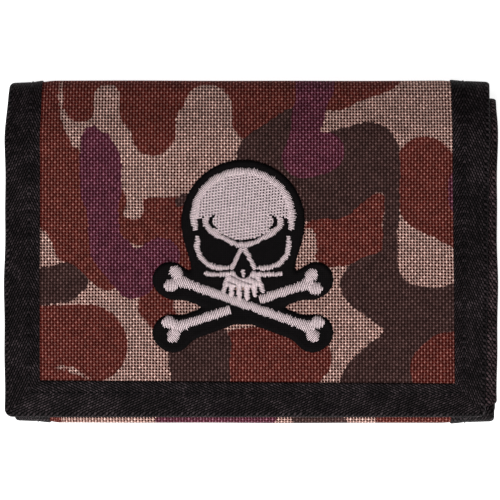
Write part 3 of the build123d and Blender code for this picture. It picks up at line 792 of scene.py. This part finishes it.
def make_free_binding(stretch, free, toward_fold):
    """The tape round a flap's three free sides, with a mitre at each corner. free is the free edge's place
    along the strip, and toward_fold the direction from it to the fold."""
    fold_side = STRETCHES[stretch][1 if toward_fold > 0 else 0]
    clear = 11.5  # how far from a corner its mitre reaches
    straight = stations(*sorted((fold_side, free + toward_fold * clear)), *TAPE_STEPS)
    d = SECTION[:, 0]
    centre = np.maximum(CORNER_R, d)
    rounding = np.maximum(CORNER_R - d, 0)
    shares = np.linspace(0, 1, 6)[1:]
    # rows of the section, from the fold round the corner: their distances in from the side and from the free
    # edge, and the leg of the tape that they belong to, 0 the left side, 1 the free edge, 2 the right side
    half = [(d, a, 0) for a in np.sort(np.abs(straight - free))[::-1]]
    half += [(d, clear * (1 - t) + centre * t, 0) for t in shares]
    for angle in np.linspace(0, math.pi / 2, 7)[1:]:
        u, a = centre - rounding * math.cos(angle), centre - rounding * math.sin(angle)
        half.append((u, a, 0 if angle < math.pi / 4 + 0.01 else 1))
    half += [(centre * (1 - t) + clear * t, d, 1) for t in shares]
    rows = [(LEFT + u, a, leg) for u, a, leg in half]
    rows += [(x, d, 1) for x in np.linspace(LEFT + clear, SHELL_RIGHT - clear, 56)[1:-1]]
    rows += [(SHELL_RIGHT - u, a, 2 - leg) for u, a, leg in half[::-1]]
    x, a = (np.array([np.broadcast_to(row[k], d.shape) for row in rows]) for k in (0, 1))
    legs = np.array([row[2] for row in rows])
    # sewn on a little askew: wider at the left than at the right
    a = a * (1 - 0.055 * x / RIGHT * np.clip((20 - a) / 8, 0, 1))
    s = free + toward_fold * a
    # on the right side the tape holds the shell alone
    together = np.where(legs[:, None] == 2, smooth((6 - a) / 4), 1.0)
    low = lining_in(x, s) * together - SHELL_T / 2 * (1 - together)
    # a mitre's overlap stands a little proud
    mitre = np.minimum(np.abs((x - LEFT) - a), np.abs((SHELL_RIGHT - x) - a))
    on_leg = (d > 1.5) * (d < TAPE_WIDTH - 0.3)
    thick = SECTION[:, 2] + 0.16 * np.exp(-((mitre / 0.5) ** 2)) * on_leg
    points = tape_points(x, s, SHELL_T / 2, low, thick)
    # each leg has its own run of tape, and at a mitre the faces on either side see another one
    lengths = np.stack([a, x, a]) + 31 * np.arange(3)[:, None, None]
    across = np.broadcast_to(SECTION[:, 3], x.shape)
    order = np.arange(len(legs))
    near, far = (np.stack([lengths[leg, order], across], -1) for leg in (np.append(legs[1:], legs[-1]), legs))
    piece = Piece("binding_" + stretch)
    piece.grid(points, near, TAPE, wrap=True, caps=True, uv_last=far)
    inset = TAPE_WIDTH - SEWN_IN
    for kind, x in (("both", LEFT + inset), ("shell", SHELL_RIGHT - inset)):
        sew(piece, kind, x, stations(*sorted((fold_side, free + toward_fold * inset)), *SEWN_STEPS))
    sew(piece, "both", np.linspace(LEFT + inset, SHELL_RIGHT - inset, 90), free + toward_fold * inset)
    made = piece.build(merge=True)
    bend(made, stretch, "binding_tape", stretch + "_binding")
    reach = abs(fold_side - free)
    (2 * reach + SHELL_RIGHT - LEFT) * MM


# ---- embroidered patch ----
PATCH_LOW, PATCH_HIGH = (np.array(corner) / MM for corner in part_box("patch_backing"))
PATCH_X = (PATCH_LOW[0] + PATCH_HIGH[0]) / 2
PATCH_N = PATCH_HIGH[2] - FRONT_Z
SKULL_Y = 9.3
DOME = (13.75, 12.8)
ARM_Y = -14.6
ARM = (19.1, 7.0)


def capsule(x, y, ax, ay, bx, by, r):
    """Distance outside a line from (ax, ay) to (bx, by) that is r thick on each side."""
    dx, dy = bx - ax, by - ay
    t = np.clip(((x - ax) * dx + (y - ay) * dy) / (dx * dx + dy * dy), 0, 1)
    return np.hypot(x - ax - t * dx, y - ay - t * dy) - r


def blended(first, second, soft):
    """A union of two distances, rounded where they meet."""
    share = np.clip(0.5 + (second - first) / (2 * soft), 0, 1)
    return second * (1 - share) + first * share - soft * share * (1 - share)


def patch_outline(x, y):
    """Distance outside the patch's outline: a dome over the skull, a jaw, and the bones' four arms."""
    x = x - PATCH_X
    shape = np.hypot(x, y - 8.0) - 16.3
    shape = blended(shape, np.maximum(np.abs(x) - 13.6, np.abs(y - 0.5) - 9.0), 3.0)
    for sx in (-1, 1):
        for sy in (-1, 1):
            end_x, end_y = sx * ARM[0], ARM_Y + sy * ARM[1]
            arm = capsule(x, y, 0, ARM_Y, end_x, end_y, 3.5)
            knob = capsule(x, y, end_x - sx * 0.8, end_y - 0.4, end_x + sx * 0.2, end_y + 0.4, 4.5)
            shape = blended(shape, blended(arm, knob, 2.0), 1.6)
    return shape


def make_patch():
    step = 0.36
    x = np.arange(PATCH_LOW[0] - 0.6, PATCH_HIGH[0] + 0.6, step)
    y = np.arange(PATCH_LOW[1] - 0.8, PATCH_HIGH[1] + 0.8, step)
    xx, yy = np.meshgrid(x, y)
    depth = -patch_outline(xx, yy)
    # a rounded rim that turns down into the cloth, with a slightly raised sewn border
    rim = np.sqrt(np.clip(1 - (1 - np.clip(depth / 0.9, 0, 1)) ** 2, 0, 1))
    border = 0.10 * np.exp(-(((depth - 1.0) / 0.7) ** 2))
    n = 0.25 + (PATCH_N - 0.25) * rim + border - 0.1
    piece = Piece("patch_cloth")
    piece.grid(place(xx, yy, n), np.stack([xx, yy], -1), PATCH_CLOTH)
    made = piece.build()
    mesh = bmesh.new()
    mesh.from_mesh(made.data)
    outside = [v for v in mesh.verts if patch_outline(v.co.x / MM, v.co.y / MM) > 0.45]
    bmesh.ops.delete(mesh, geom=outside, context="VERTS")
    mesh.to_mesh(made.data)
    mesh.free()
    attach(made, "front_flap", "patch_cloth", "patch_backing")
    np.count_nonzero(depth > 0) * (step * MM) ** 2


def satin(piece, line, half_width, crown=0.30, spacing=0.42, radius=0.2):
    """Close stitches straight across a line, as wide as half_width says at each of its points."""
    along = distances(line)
    marks = np.arange(spacing / 2, along[-1], spacing)
    middle = at_marks(marks, along, line)
    width = np.interp(marks, along, np.broadcast_to(half_width, along.shape))
    slope = at_marks(marks, along, np.gradient(line, along, axis=0))
    across = np.stack([-slope[:, 1], slope[:, 0]], -1)
    across /= np.linalg.norm(across, axis=1, keepdims=True)
    lean = 0.05 * np.stack([across[:, 1], -across[:, 0]], -1)
    level = PATCH_N - 0.05 + 0.03 * RANDOM.standard_normal((len(marks), 1))
    near, far = (width + 0.12 * RANDOM.standard_normal(len(marks)) for _ in range(2))
    a = np.concatenate([middle - across * near[:, None] - lean, level], 1)
    b = np.concatenate([middle + across * far[:, None] + lean, level], 1)
    stitches(piece, a, b, radius, crown * np.clip(width / 0.9, 0.5, 1.15), WHITE_THREAD)


def fill(piece, inside, centre, reach, tilt, length, hole):
    """Rows of running stitches over a region. If they have needle holes at their ends, every other row is of
    long ones without, that stand higher."""
    turn = np.array([[math.cos(tilt), -math.sin(tilt)], [math.sin(tilt), math.cos(tilt)]])
    row, radius, crown, least = 0.38, 0.2, 0.2, 0.45
    u = np.arange(-reach, reach, 0.06)
    short, long = [], []
    for k, v in enumerate(np.arange(-reach, reach, row)):
        spots = np.stack([u, np.full(len(u), v)], -1) @ turn.T + centre
        kept = inside(spots[:, 0], spots[:, 1])
        runs = np.flatnonzero(np.diff(np.concatenate([[0], kept.astype(int), [0]])))
        is_long = k % 2 and hole
        step, gap = (16 * length, 0) if is_long else (length, hole)
        for first, last in runs.reshape(-1, 2):
            start, stop = u[first], u[last - 1]
            if stop - start < 0.5:
                continue
            offset = RANDOM.uniform(0, step) if is_long else step * ((k * 0.09) % 1)
            cuts = np.arange(math.floor(start / step) * step + offset - step, stop + step, step)
            cuts = cuts + RANDOM.normal(0, 0.04, len(cuts))
            cuts = np.concatenate([[start], cuts[(cuts > start + least) & (cuts < stop - least)], [stop]])
            for c0, c1 in zip(cuts[:-1], cuts[1:]):
                height = PATCH_N + (crown if is_long else RANDOM.normal(0.0, 0.02))
                ends = [(*(turn @ (spot, v) + centre), height) for spot in (c0 + gap, c1 - gap)]
                (long if is_long else short).append(ends)
    for ends, rise, steps, tip in ((short, crown, 7, 0.3), (long, 0.0, 20, 0.9)):
        if ends:
            a, b = np.moveaxis(np.array(ends), 1, 0)
            stitches(piece, a, b, radius, rise, WHITE_THREAD, steps=steps, tip=tip)


def curve(*points):
    """A smooth line through a few points."""
    points = np.array(points, float)
    knots = distances(points)
    t = np.linspace(0, knots[-1], 30)
    slope = np.gradient(points, knots, axis=0)
    k = np.clip(np.searchsorted(knots, t, side="right") - 1, 0, len(points) - 2)
    span = (knots[k + 1] - knots[k])[:, None]
    f = ((t - knots[k]) / span[:, 0])[:, None]
    return ((2 * f**3 - 3 * f**2 + 1) * points[k] + (f**3 - 2 * f**2 + f) * slope[k] * span
            + (3 * f**2 - 2 * f**3) * points[k + 1] + (f**3 - f**2) * slope[k + 1] * span)


def in_dome(x, y):
    """The forehead: inside the rim, above the brow, and outside a crescent at each temple."""
    x = np.abs(x - PATCH_X)
    brow_x = [0, 2.8, 5.4, 7.0, 8.3, 9.2, 10.4, 11.5, 13]
    above = y > np.interp(x, brow_x, [3.0, 3.5, 4.7, 5.4, 6.2, 7.4, 9.4, 8.7, 8.4])
    crescent = (np.hypot(x - 7.2, y - 8.0) < 1.8) & (np.hypot(x - 6.3, y - 8.15) > 1.8)
    return (np.hypot(x / (DOME[0] - 1.3), (y - SKULL_Y) / (DOME[1] - 1.3)) < 1) & above & ~crescent


def in_jaw(x, y):
    """The upper jaw, that flares down from the nose to the teeth."""
    x = np.abs(x - PATCH_X)
    nostrils = np.hypot(x / 2.2, (y + 4.6) / 2.3) < 1
    return (x < 3.5 + 0.33 * (-5.0 - y)) & (y < -4.9) & (y > -9.3) & ~nostrils


def make_skull():
    piece = Piece("stitched_skull")
    fill(piece, in_dome, (PATCH_X, SKULL_Y), 15, math.radians(8), 0.8, 0.17)
    share = np.linspace(0, 1, 80)
    turn = np.radians(-17 + 214 * share)
    rim = np.stack([(DOME[0] - 0.85) * np.cos(turn), (DOME[1] - 0.85) * np.sin(turn)], -1)
    satin(piece, rim + (PATCH_X, SKULL_Y), np.interp(share, [0, 0.05, 0.95, 1], [0.5, 0.95, 0.95, 0.5]))
    ridge_x = np.linspace(-5.4, 5.4, 30)
    ridge = np.stack([PATCH_X + ridge_x, 1.75 + 2.0 * (np.abs(ridge_x) / 5.2) ** 1.6], -1)
    satin(piece, ridge, np.interp(np.abs(ridge_x), [0, 4, 5.4], [0.8, 0.6, 0.35]))
    # the face's strokes, each on both sides: brow, orbit, nose, cheekbone and jaw
    for half_width, *points in (
        (0.78, (10.2, 9.0), (9.8, 7.3), (8.6, 5.7), (6.8, 4.6), (5.3, 3.7)),
        (0.66, (12.0, 4.3), (12.0, 0.7), (10.4, -2.4), (7.2, -4.0), (3.9, -4.2)),
        (0.60, (0.4, 1.0), (1.5, -1.2), (3.2, -4.6)),
        (0.58, (3.7, -5.7), (7.2, -6.0), (10.3, -5.6)),
        (0.60, (3.9, -5.6), (4.6, -8.2), (5.3, -10.9)),
    ):
        line = curve(*points)
        taper = half_width * np.interp(np.linspace(0, 1, len(line)), [0, 0.08, 0.92, 1], [0.6, 1, 1, 0.6])
        for side in (1, -1):
            satin(piece, line * (side, 1) + (PATCH_X, 0), taper)
    fill(piece, in_jaw, (PATCH_X, -7), 7, math.radians(90), 1.9, 0)
    satin(piece, curve((0, -4.6), (0, -5.6), (0, -6.9)) + (PATCH_X, 0), 0.42)
    for x, bottom in ((-3.05, -11.9), (-1.05, -12.8), (1.05, -12.8), (3.05, -11.9)):
        tooth = curve((x * 0.92, -8.6), (x, -10.4), (x, bottom)) + (PATCH_X, 0)
        width = np.interp(np.linspace(0, 1, len(tooth)), [0, 0.5, 0.85, 1], [0.62, 0.72, 0.62, 0.3])
        satin(piece, tooth, width, spacing=0.3)
    attach(piece.build(), "front_flap", "patch_thread", "patch_skull")


def make_bones():
    """Two crossed bones; the one from the upper left lies over the other, which stops beside it."""
    piece = Piece("stitched_bones")
    whole, parted = [(-1, 1)], [(-1, -0.16), (0.24, 1)]
    for first, last, spans in (((-18.6, -7.0), (19.2, -20.4), whole), ((-19.2, -20.4), (18.8, -7.8), parted)):
        ends = np.array([first, last]) + (PATCH_X, 0)
        centre = ends.mean(0)
        reach = np.linalg.norm(ends[1] - ends[0]) / 2
        way = (ends[1] - ends[0]) / (2 * reach)
        side = np.array([-way[1], way[0]])
        for start, stop in spans:
            t = np.linspace(start, stop, 40) * (reach - 0.3)
            swell = 1.15 + 0.8 * smooth((np.abs(t) - reach + 5.5) / 5.5)
            satin(piece, centre + t[:, None] * way, swell, crown=0.2, spacing=0.47, radius=0.22)
        for end in (-1, 1):
            for lobe in (-1, 1):
                root = centre + end * way * (reach - 1.9) + side * lobe * 1.1
                tip = centre + end * way * (reach + 1.4) + side * lobe * 2.6
                t = np.linspace(-1, 1, 16)
                width = 1.65 * np.sqrt(np.clip(1 - np.abs(t) ** 2.4, 0.06, 1))
                satin(piece, root + (t[:, None] + 1) / 2 * (tip - root), width, crown=0.4)
    attach(piece.build(), "front_flap", "patch_thread", "patch_bones")


# ---- what is inside ----
def on_back(x, y, z):
    return np.stack(np.broadcast_arrays(x, y, z), -1).astype(float) * MM


def on_inner_flap(x, y, z):
    return place(x, STARTS[8] + y - (BOTTOM_Y + FOLD_R), z - INNER_Z)


def on_front_flap(x, y, z):
    return place(x, y, z - FRONT_Z)


PLACES = {"back": on_back, "inner_flap": on_inner_flap, "front_flap": on_front_flap}
SURFACES = {
    "lining_fabric": LINING, "binding_tape": TAPE, "window_film": VINYL, "hook_tape": HOOK, "loop_tape": LOOP,
}
# a panel's width and height are worked out only where both are over this many millimetres
LEAST_SHEET = 10.0


def make_panel(name, body, slot, node, ranges, lift=None, seams=(), under=False):
    """A flat piece of cloth with rounded edges, between ranges of X, Y and Z. lift shapes it, and seams are
    its sewn lines, on its underside if under."""
    locate = PLACES[body]
    x_range, y_range, z_range = ranges
    x, c = edge_ring(x_range[0] + 0.25, x_range[1] - 0.25, 1.5)
    count = max(2, round((y_range[1] - y_range[0]) / 1.2)) + 1
    xx, yy = np.meshgrid(x, np.linspace(*y_range, count))
    half = (z_range[1] - z_range[0]) / 2

    def middle(x, y):
        return sum(z_range) / 2 + (lift(x, y) if lift else 0)

    piece = Piece(name)
    points = locate(xx, yy, middle(xx, yy) + c * half)
    piece.grid(points, np.stack([xx, yy], -1), SURFACES[slot], wrap=True, caps=True)
    for line in seams:
        line = np.array(line, float)
        marks = np.append(np.arange(29 * (len(line) - 1)) / 29, len(line) - 1)
        x, y = at_marks(marks, np.arange(len(line)), line).T
        height = middle(x, y) + (-half - 0.12 if under else half)
        seam(piece, np.stack(np.broadcast_arrays(x, y, height), -1), locate, **NARROW_SEAM)
    made = piece.build(sharp=70)
    attach(made, body, slot, node)
    flat = [r[1] - r[0] for r in (x_range, y_range)]
    if min(flat) > LEAST_SHEET:
        [size * MM for size in flat]


def open_line(x_range, y_range, inset):
    """A sewn line inside a panel's left, bottom and right edges."""
    x0, x1, y0, y1 = x_range[0] + inset, x_range[1] - inset, y_range[0] + inset, y_range[1] - 0.4
    return [(x0, y1), (x0, y0), (x1, y0), (x1, y1)]


def closed_line(x_range, y_range, inset):
    """A sewn line inside a panel's four edges."""
    x0, x1, y0, y1 = x_range[0] + inset, x_range[1] - inset, y_range[0] + inset, y_range[1] - inset
    return [(x0, y0), (x1, y0), (x1, y1), (x0, y1), (x0, y0)]


def edges(node):
    """A CAD node's ranges of X, Y and Z."""
    low, high = (np.array(corner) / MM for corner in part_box(node))
    return tuple(zip(low, high))


def make_coin_pocket():
    x_range, y_range, z_range = edges("coin_pocket_front")
    top = z_range[1]
    drop = top - 0.5 - (z_range[0] + 0.3)
    mouth = edges("zip_tape_lower")[1][0] + 4

    def sides(x):
        return smooth((x - x_range[0]) / 2.4) * smooth((x_range[1] - x) / 2.4)

    def pouch(x, y):
        full = sides(x) * smooth((y - y_range[0]) / 2.4)
        sag = 0.12 * np.sin(x / 15 + 1) * np.sin(y / 12)
        return (full - 1) * drop - (0.12 - sag) * full * smooth((mouth - y) / 6)

    def ends(x, y):
        return (sides(x) - 1) * drop

    span = (y_range[0], mouth)
    make_panel("coin_pouch", "back", "lining_fabric", "coin_pocket_front",
               (x_range, span, (top - 0.5, top)), pouch, [open_line(x_range, span, 3.4)])
    face_x, (face_low, face_high), _ = edges("coin_pocket_facing")

    def facing(x, y):
        return ends(x, y) + (smooth((face_high - y) / 1.8) - 1) * drop

    make_panel("coin_pouch_facing", "back", "lining_fabric", "coin_pocket_facing",
               (face_x, (face_low - 0.4, face_high), (top - 0.5, top)), facing)
    for node, sewn, away in (("zip_tape_lower", 0, 1), ("zip_tape_upper", 1, -1)):
        ranges = edges(node)
        (x0, x1), line = ranges[0], ranges[1][sewn] + 1.6 * away
        across = [[(x0 + 3, y), (x1 - 3, y)] for y in (line, line + 1.9 * away)]
        make_panel(node + "_cloth", "back", "binding_tape", node, ranges, ends, across)


def make_coils():
    pitch = 1.25
    for node, toward, phase in (("zip_coil_lower", 1, 0.0), ("zip_coil_upper", -1, math.pi)):
        (x0, x1), y_range, z_range = edges(node)
        turns = (x1 - x0) / pitch
        t = np.linspace(0, 2 * math.pi * turns, round(turns * 14))
        # each coil reaches between the other's turns
        y = sum(y_range) / 2 + toward * 0.25 + 0.72 * np.cos(t + phase)
        z = sum(z_range) / 2 + 0.46 * np.sin(t + phase)
        centre = on_back(x0 + 0.2 + pitch * t / (2 * math.pi) * 0.995, y, z)[None]
        piece = Piece(node + "_teeth")
        tubes(piece, centre, 0.2, (1, 0, 0), t, COIL, 7)
        core_x = np.linspace(x0 + 0.2, x1 - 0.2, 60)
        core = on_back(core_x, sum(y_range) / 2, sum(z_range) / 2)[None]
        tubes(piece, core, 0.27, (0, 0, 1), core_x, COIL, 8)
        attach(piece.build(), "back", "zip_coil", node)


def make_card_slots():
    for k, node in enumerate(("card_slot_1", "card_slot_2", "card_slot_3")):
        (x0, x1), (y0, y1), z_range = edges(node)

        def hem(x, y):
            folded = 0.05 * smooth((y - y1 + 5.2) / 0.5)
            return folded - 0.05 + 0.04 * np.sin(x / 8 + 2 * k) * np.sin(y / 9 + k)

        across = [[(x0 + 1.4, y), (x1 - 1.4, y)] for y in (y1 - 1.2, y1 - 4.8)]
        make_panel(node + "_cloth", "back", "lining_fabric", node,
                   ((x0, x1), (y0, y1), (z_range[0] + 0.05, z_range[1] - 0.02)), hem,
                   [open_line((x0, x1), (y0, y1), 1.4), *across])


def make_window():
    """A border of cloth with a notch for the thumb in its open side, and a clear film under it."""
    (x0, x1), (y0, y1), z_range = edges("id_window_frame")
    border = 6.0
    corners = np.array([(x0, y0), (x1, y0), (x1, y1), (x0, y1), (x0, y0)])
    inward = np.array([(1, 1), (-1, 1), (-1, -1), (1, -1), (1, 1)]) * border
    marks = np.linspace(0, 4, 241)
    outer, inner = (at_marks(marks, np.arange(5), ring) for ring in (corners, corners + inward))
    outer[:, 1] -= 3.6 * np.exp(-((outer[:, 0] / 7.5) ** 4)) * (outer[:, 1] > y1 - 0.1)
    w, c = edge_ring(0.05, border - 0.05, 0.7)
    share = np.clip(w / border, 0, 1)[:, None]
    x, y = np.moveaxis(outer[:, None] * (1 - share) + inner[:, None] * share, -1, 0)
    points = on_inner_flap(x, y, sum(z_range) / 2 + c * (z_range[1] - z_range[0]) / 2)
    piece = Piece("window_border")
    piece.grid(points, np.stack(np.broadcast_arrays(distances(outer)[:, None], w), -1), LINING, wrap=True)
    for share in (0.22, 0.8):
        line = outer * (1 - share) + inner * share
        level = np.full((len(line), 1), z_range[0] - 0.13)
        seam(piece, np.concatenate([line, level], 1), on_inner_flap, **NARROW_SEAM)
    made = piece.build(merge=True, sharp=70)
    attach(made, "inner_flap", "lining_fabric", "id_window_frame")
    wide, high = (x1 - x0) * MM, (y1 - y0) * MM
    area = wide * high - (wide - 2 * border * MM) * (high - 2 * border * MM)

    def slack(x, y):
        return 0.04 * np.sin(x / 7) * np.sin(y / 5 + 1)

    (x0, x1), (y0, y1), z_range = edges("id_window")
    make_panel("window_film", "inner_flap", "window_film", "id_window",
               ((x0 + 1, x1 - 1), (y0 + 1, y1 - 4.4), z_range), slack)


def spots(x_range, y_range, inset, step_x, step_y):
    """Places in rows and columns inside a strip."""
    x = np.arange(x_range[0] + inset, x_range[1] - inset, step_x)
    y = np.arange(y_range[0] + inset, y_range[1] - inset, step_y)
    return (a.ravel() for a in np.meshgrid(x, y))


def make_hooks():
    """A strip of hooks under the front flap."""
    x_range, y_range, (_, top) = edges("flap_hook_strip")
    base = top - 0.6
    make_panel("hook_tape", "front_flap", "hook_tape", "flap_hook_strip", (x_range, y_range, (base, top)),
               seams=[closed_line(x_range, y_range, 0.9)], under=True)
    x, y = spots(x_range, y_range, 2, 1.5, 1.4)
    hook = np.zeros((6, 3))
    hook[:, 1:] = [(0, 0.05), (0, -0.6), (0.12, -1.0), (0.4, -1.2), (0.66, -1.05), (0.7, -0.8)]
    roots = np.stack([x, y, np.full(len(x), base)], -1)
    roots[:, :2] += RANDOM.normal(0, 0.06, (len(x), 2))
    # every other hook points the other way
    ways = np.stack([np.ones(len(x)), np.where(np.arange(len(x)) % 2, 1, -1), np.ones(len(x))], -1)
    lines = roots[:, None] + hook * ways[:, None]
    piece = Piece("hooks")
    tubes(piece, on_front_flap(*np.moveaxis(lines, -1, 0)), 0.11, (1, 0, 0), 0.0, HOOK, 5)
    attach(piece.build(), "front_flap", "hook_tape", "flap_hook_strip")


def make_loops():
    """A strip of loop pile on the inner flap."""
    x_range, y_range, (low, _) = edges("inner_loop_strip")
    base = low + 0.55
    make_panel("loop_tape", "inner_flap", "loop_tape", "inner_loop_strip", (x_range, y_range, (low, base)),
               seams=[closed_line(x_range, y_range, 0.9)])
    x, y = spots(x_range, y_range, 1.8, 1.0, 0.95)
    count = len(x)
    t = np.linspace(0, math.pi, 7)
    heading, tall = RANDOM.uniform(0, 2 * math.pi, count), RANDOM.uniform(1.1, 1.9, count)
    wide, lean = RANDOM.uniform(0.35, 0.75, count), RANDOM.normal(0, 0.35, (count, 2))
    way = np.stack([np.cos(heading), np.sin(heading)], -1)[:, None]
    bow, arch = -np.cos(t) * wide[:, None], np.sin(t)
    spread = [root + RANDOM.normal(0, 0.3, count) for root in (x, y)]
    flat = np.stack(spread, -1)[:, None] + bow[..., None] * way + arch[:, None] * lean[:, None]
    centre = on_inner_flap(flat[..., 0], flat[..., 1], base - 0.1 + arch * tall[:, None])
    up = np.stack([-np.sin(heading), np.cos(heading), np.zeros(count)], -1)[:, None]
    piece = Piece("loops")
    tubes(piece, centre, 0.08, up, 0.5 * np.arange(1, 8), LOOP, 4)
    attach(piece.build(), "inner_flap", "loop_tape", "inner_loop_strip")


for stretch in STRETCHES:
    make_layer("shell", stretch)
    make_layer("lining", stretch)
make_free_binding("front", FRONT_END, 1)
make_free_binding("inner", END, -1)
for stretch in ("top", "bottom"):
    make_edge_tape("left", stretch)
    make_edge_tape("right", stretch)
for stretch in STRETCHES:
    make_edge_tape("lining", stretch)
make_patch()
make_skull()
make_bones()
make_coin_pocket()
make_coils()
make_card_slots()
make_window()
make_hooks()
make_loops()
for name in ("zip_stops", "zip_slider", "zip_pull"):
    node = frame["nodes"][name]
    node.data.materials.clear()
    node.data.materials.append(ENAMEL)


# ---- stage ----
def add(made, where=(0, 0, 0)):
    bpy.context.scene.collection.objects.link(made)
    made.location = where


def area_light(name, where, size, power):
    """A round soft light that shines at the origin."""
    data = bpy.data.lights.new(name, "AREA")
    data.shape = "DISK"
    data.size = size
    data.energy = power
    made = bpy.data.objects.new(name, data)
    add(made, where)
    made.rotation_euler = (-made.location).to_track_quat("-Z", "Y").to_euler()


def make_stage():
    reach = 3.0
    corners = [(-reach, -reach, 0), (reach, -reach, 0), (reach, reach, 0), (-reach, reach, 0)]
    mesh = bpy.data.meshes.new("floor")
    mesh.from_pydata(corners, [], [(0, 1, 2, 3)])
    floor = bpy.data.objects.new("floor", mesh)
    # just under the wallet, so that the two don't share a plane
    add(floor, (0, 0, -0.0001))
    paper = bpy.data.materials.new("paper")
    paper.use_nodes = True
    shader = paper.node_tree.nodes["Principled BSDF"]
    shader.inputs["Base Color"].default_value = rgba((0.93, 0.93, 0.93))
    shader.inputs["Roughness"].default_value = 0.9
    shader.inputs["Specular IOR Level"].default_value = 0.1
    # the paper is lit from below too, as on a light table
    shader.inputs["Emission Color"].default_value = rgba((1, 1, 1))
    shader.inputs["Emission Strength"].default_value = 0.8
    mesh.materials.append(paper)

    world = bpy.data.worlds.new("studio")
    bpy.context.scene.world = world
    world.use_nodes = True
    background = world.node_tree.nodes["Background"]
    background.inputs["Color"].default_value = rgba((1, 1, 1))
    background.inputs["Strength"].default_value = 0.22
    area_light("key", (-0.12, -0.70, 0.80), 0.30, 11.6)
    area_light("fill", (-0.5, 0.5, 0.9), 0.6, 1.3)
    bpy.context.scene.view_settings.view_transform = "Standard"


def make_camera():
    """Straight above the flap, with the wallet's width filling the frame."""
    width = 0.1321
    height = 0.75
    data = bpy.data.cameras.new("camera")
    data.sensor_width = 36.0
    data.lens = data.sensor_width * height / width
    data.clip_end = 20
    made = bpy.data.objects.new("camera", data)
    add(made, (-0.00026, 0.00053, FRONT_Z * MM + height))
    bpy.context.scene.camera = made


make_stage()
make_camera()
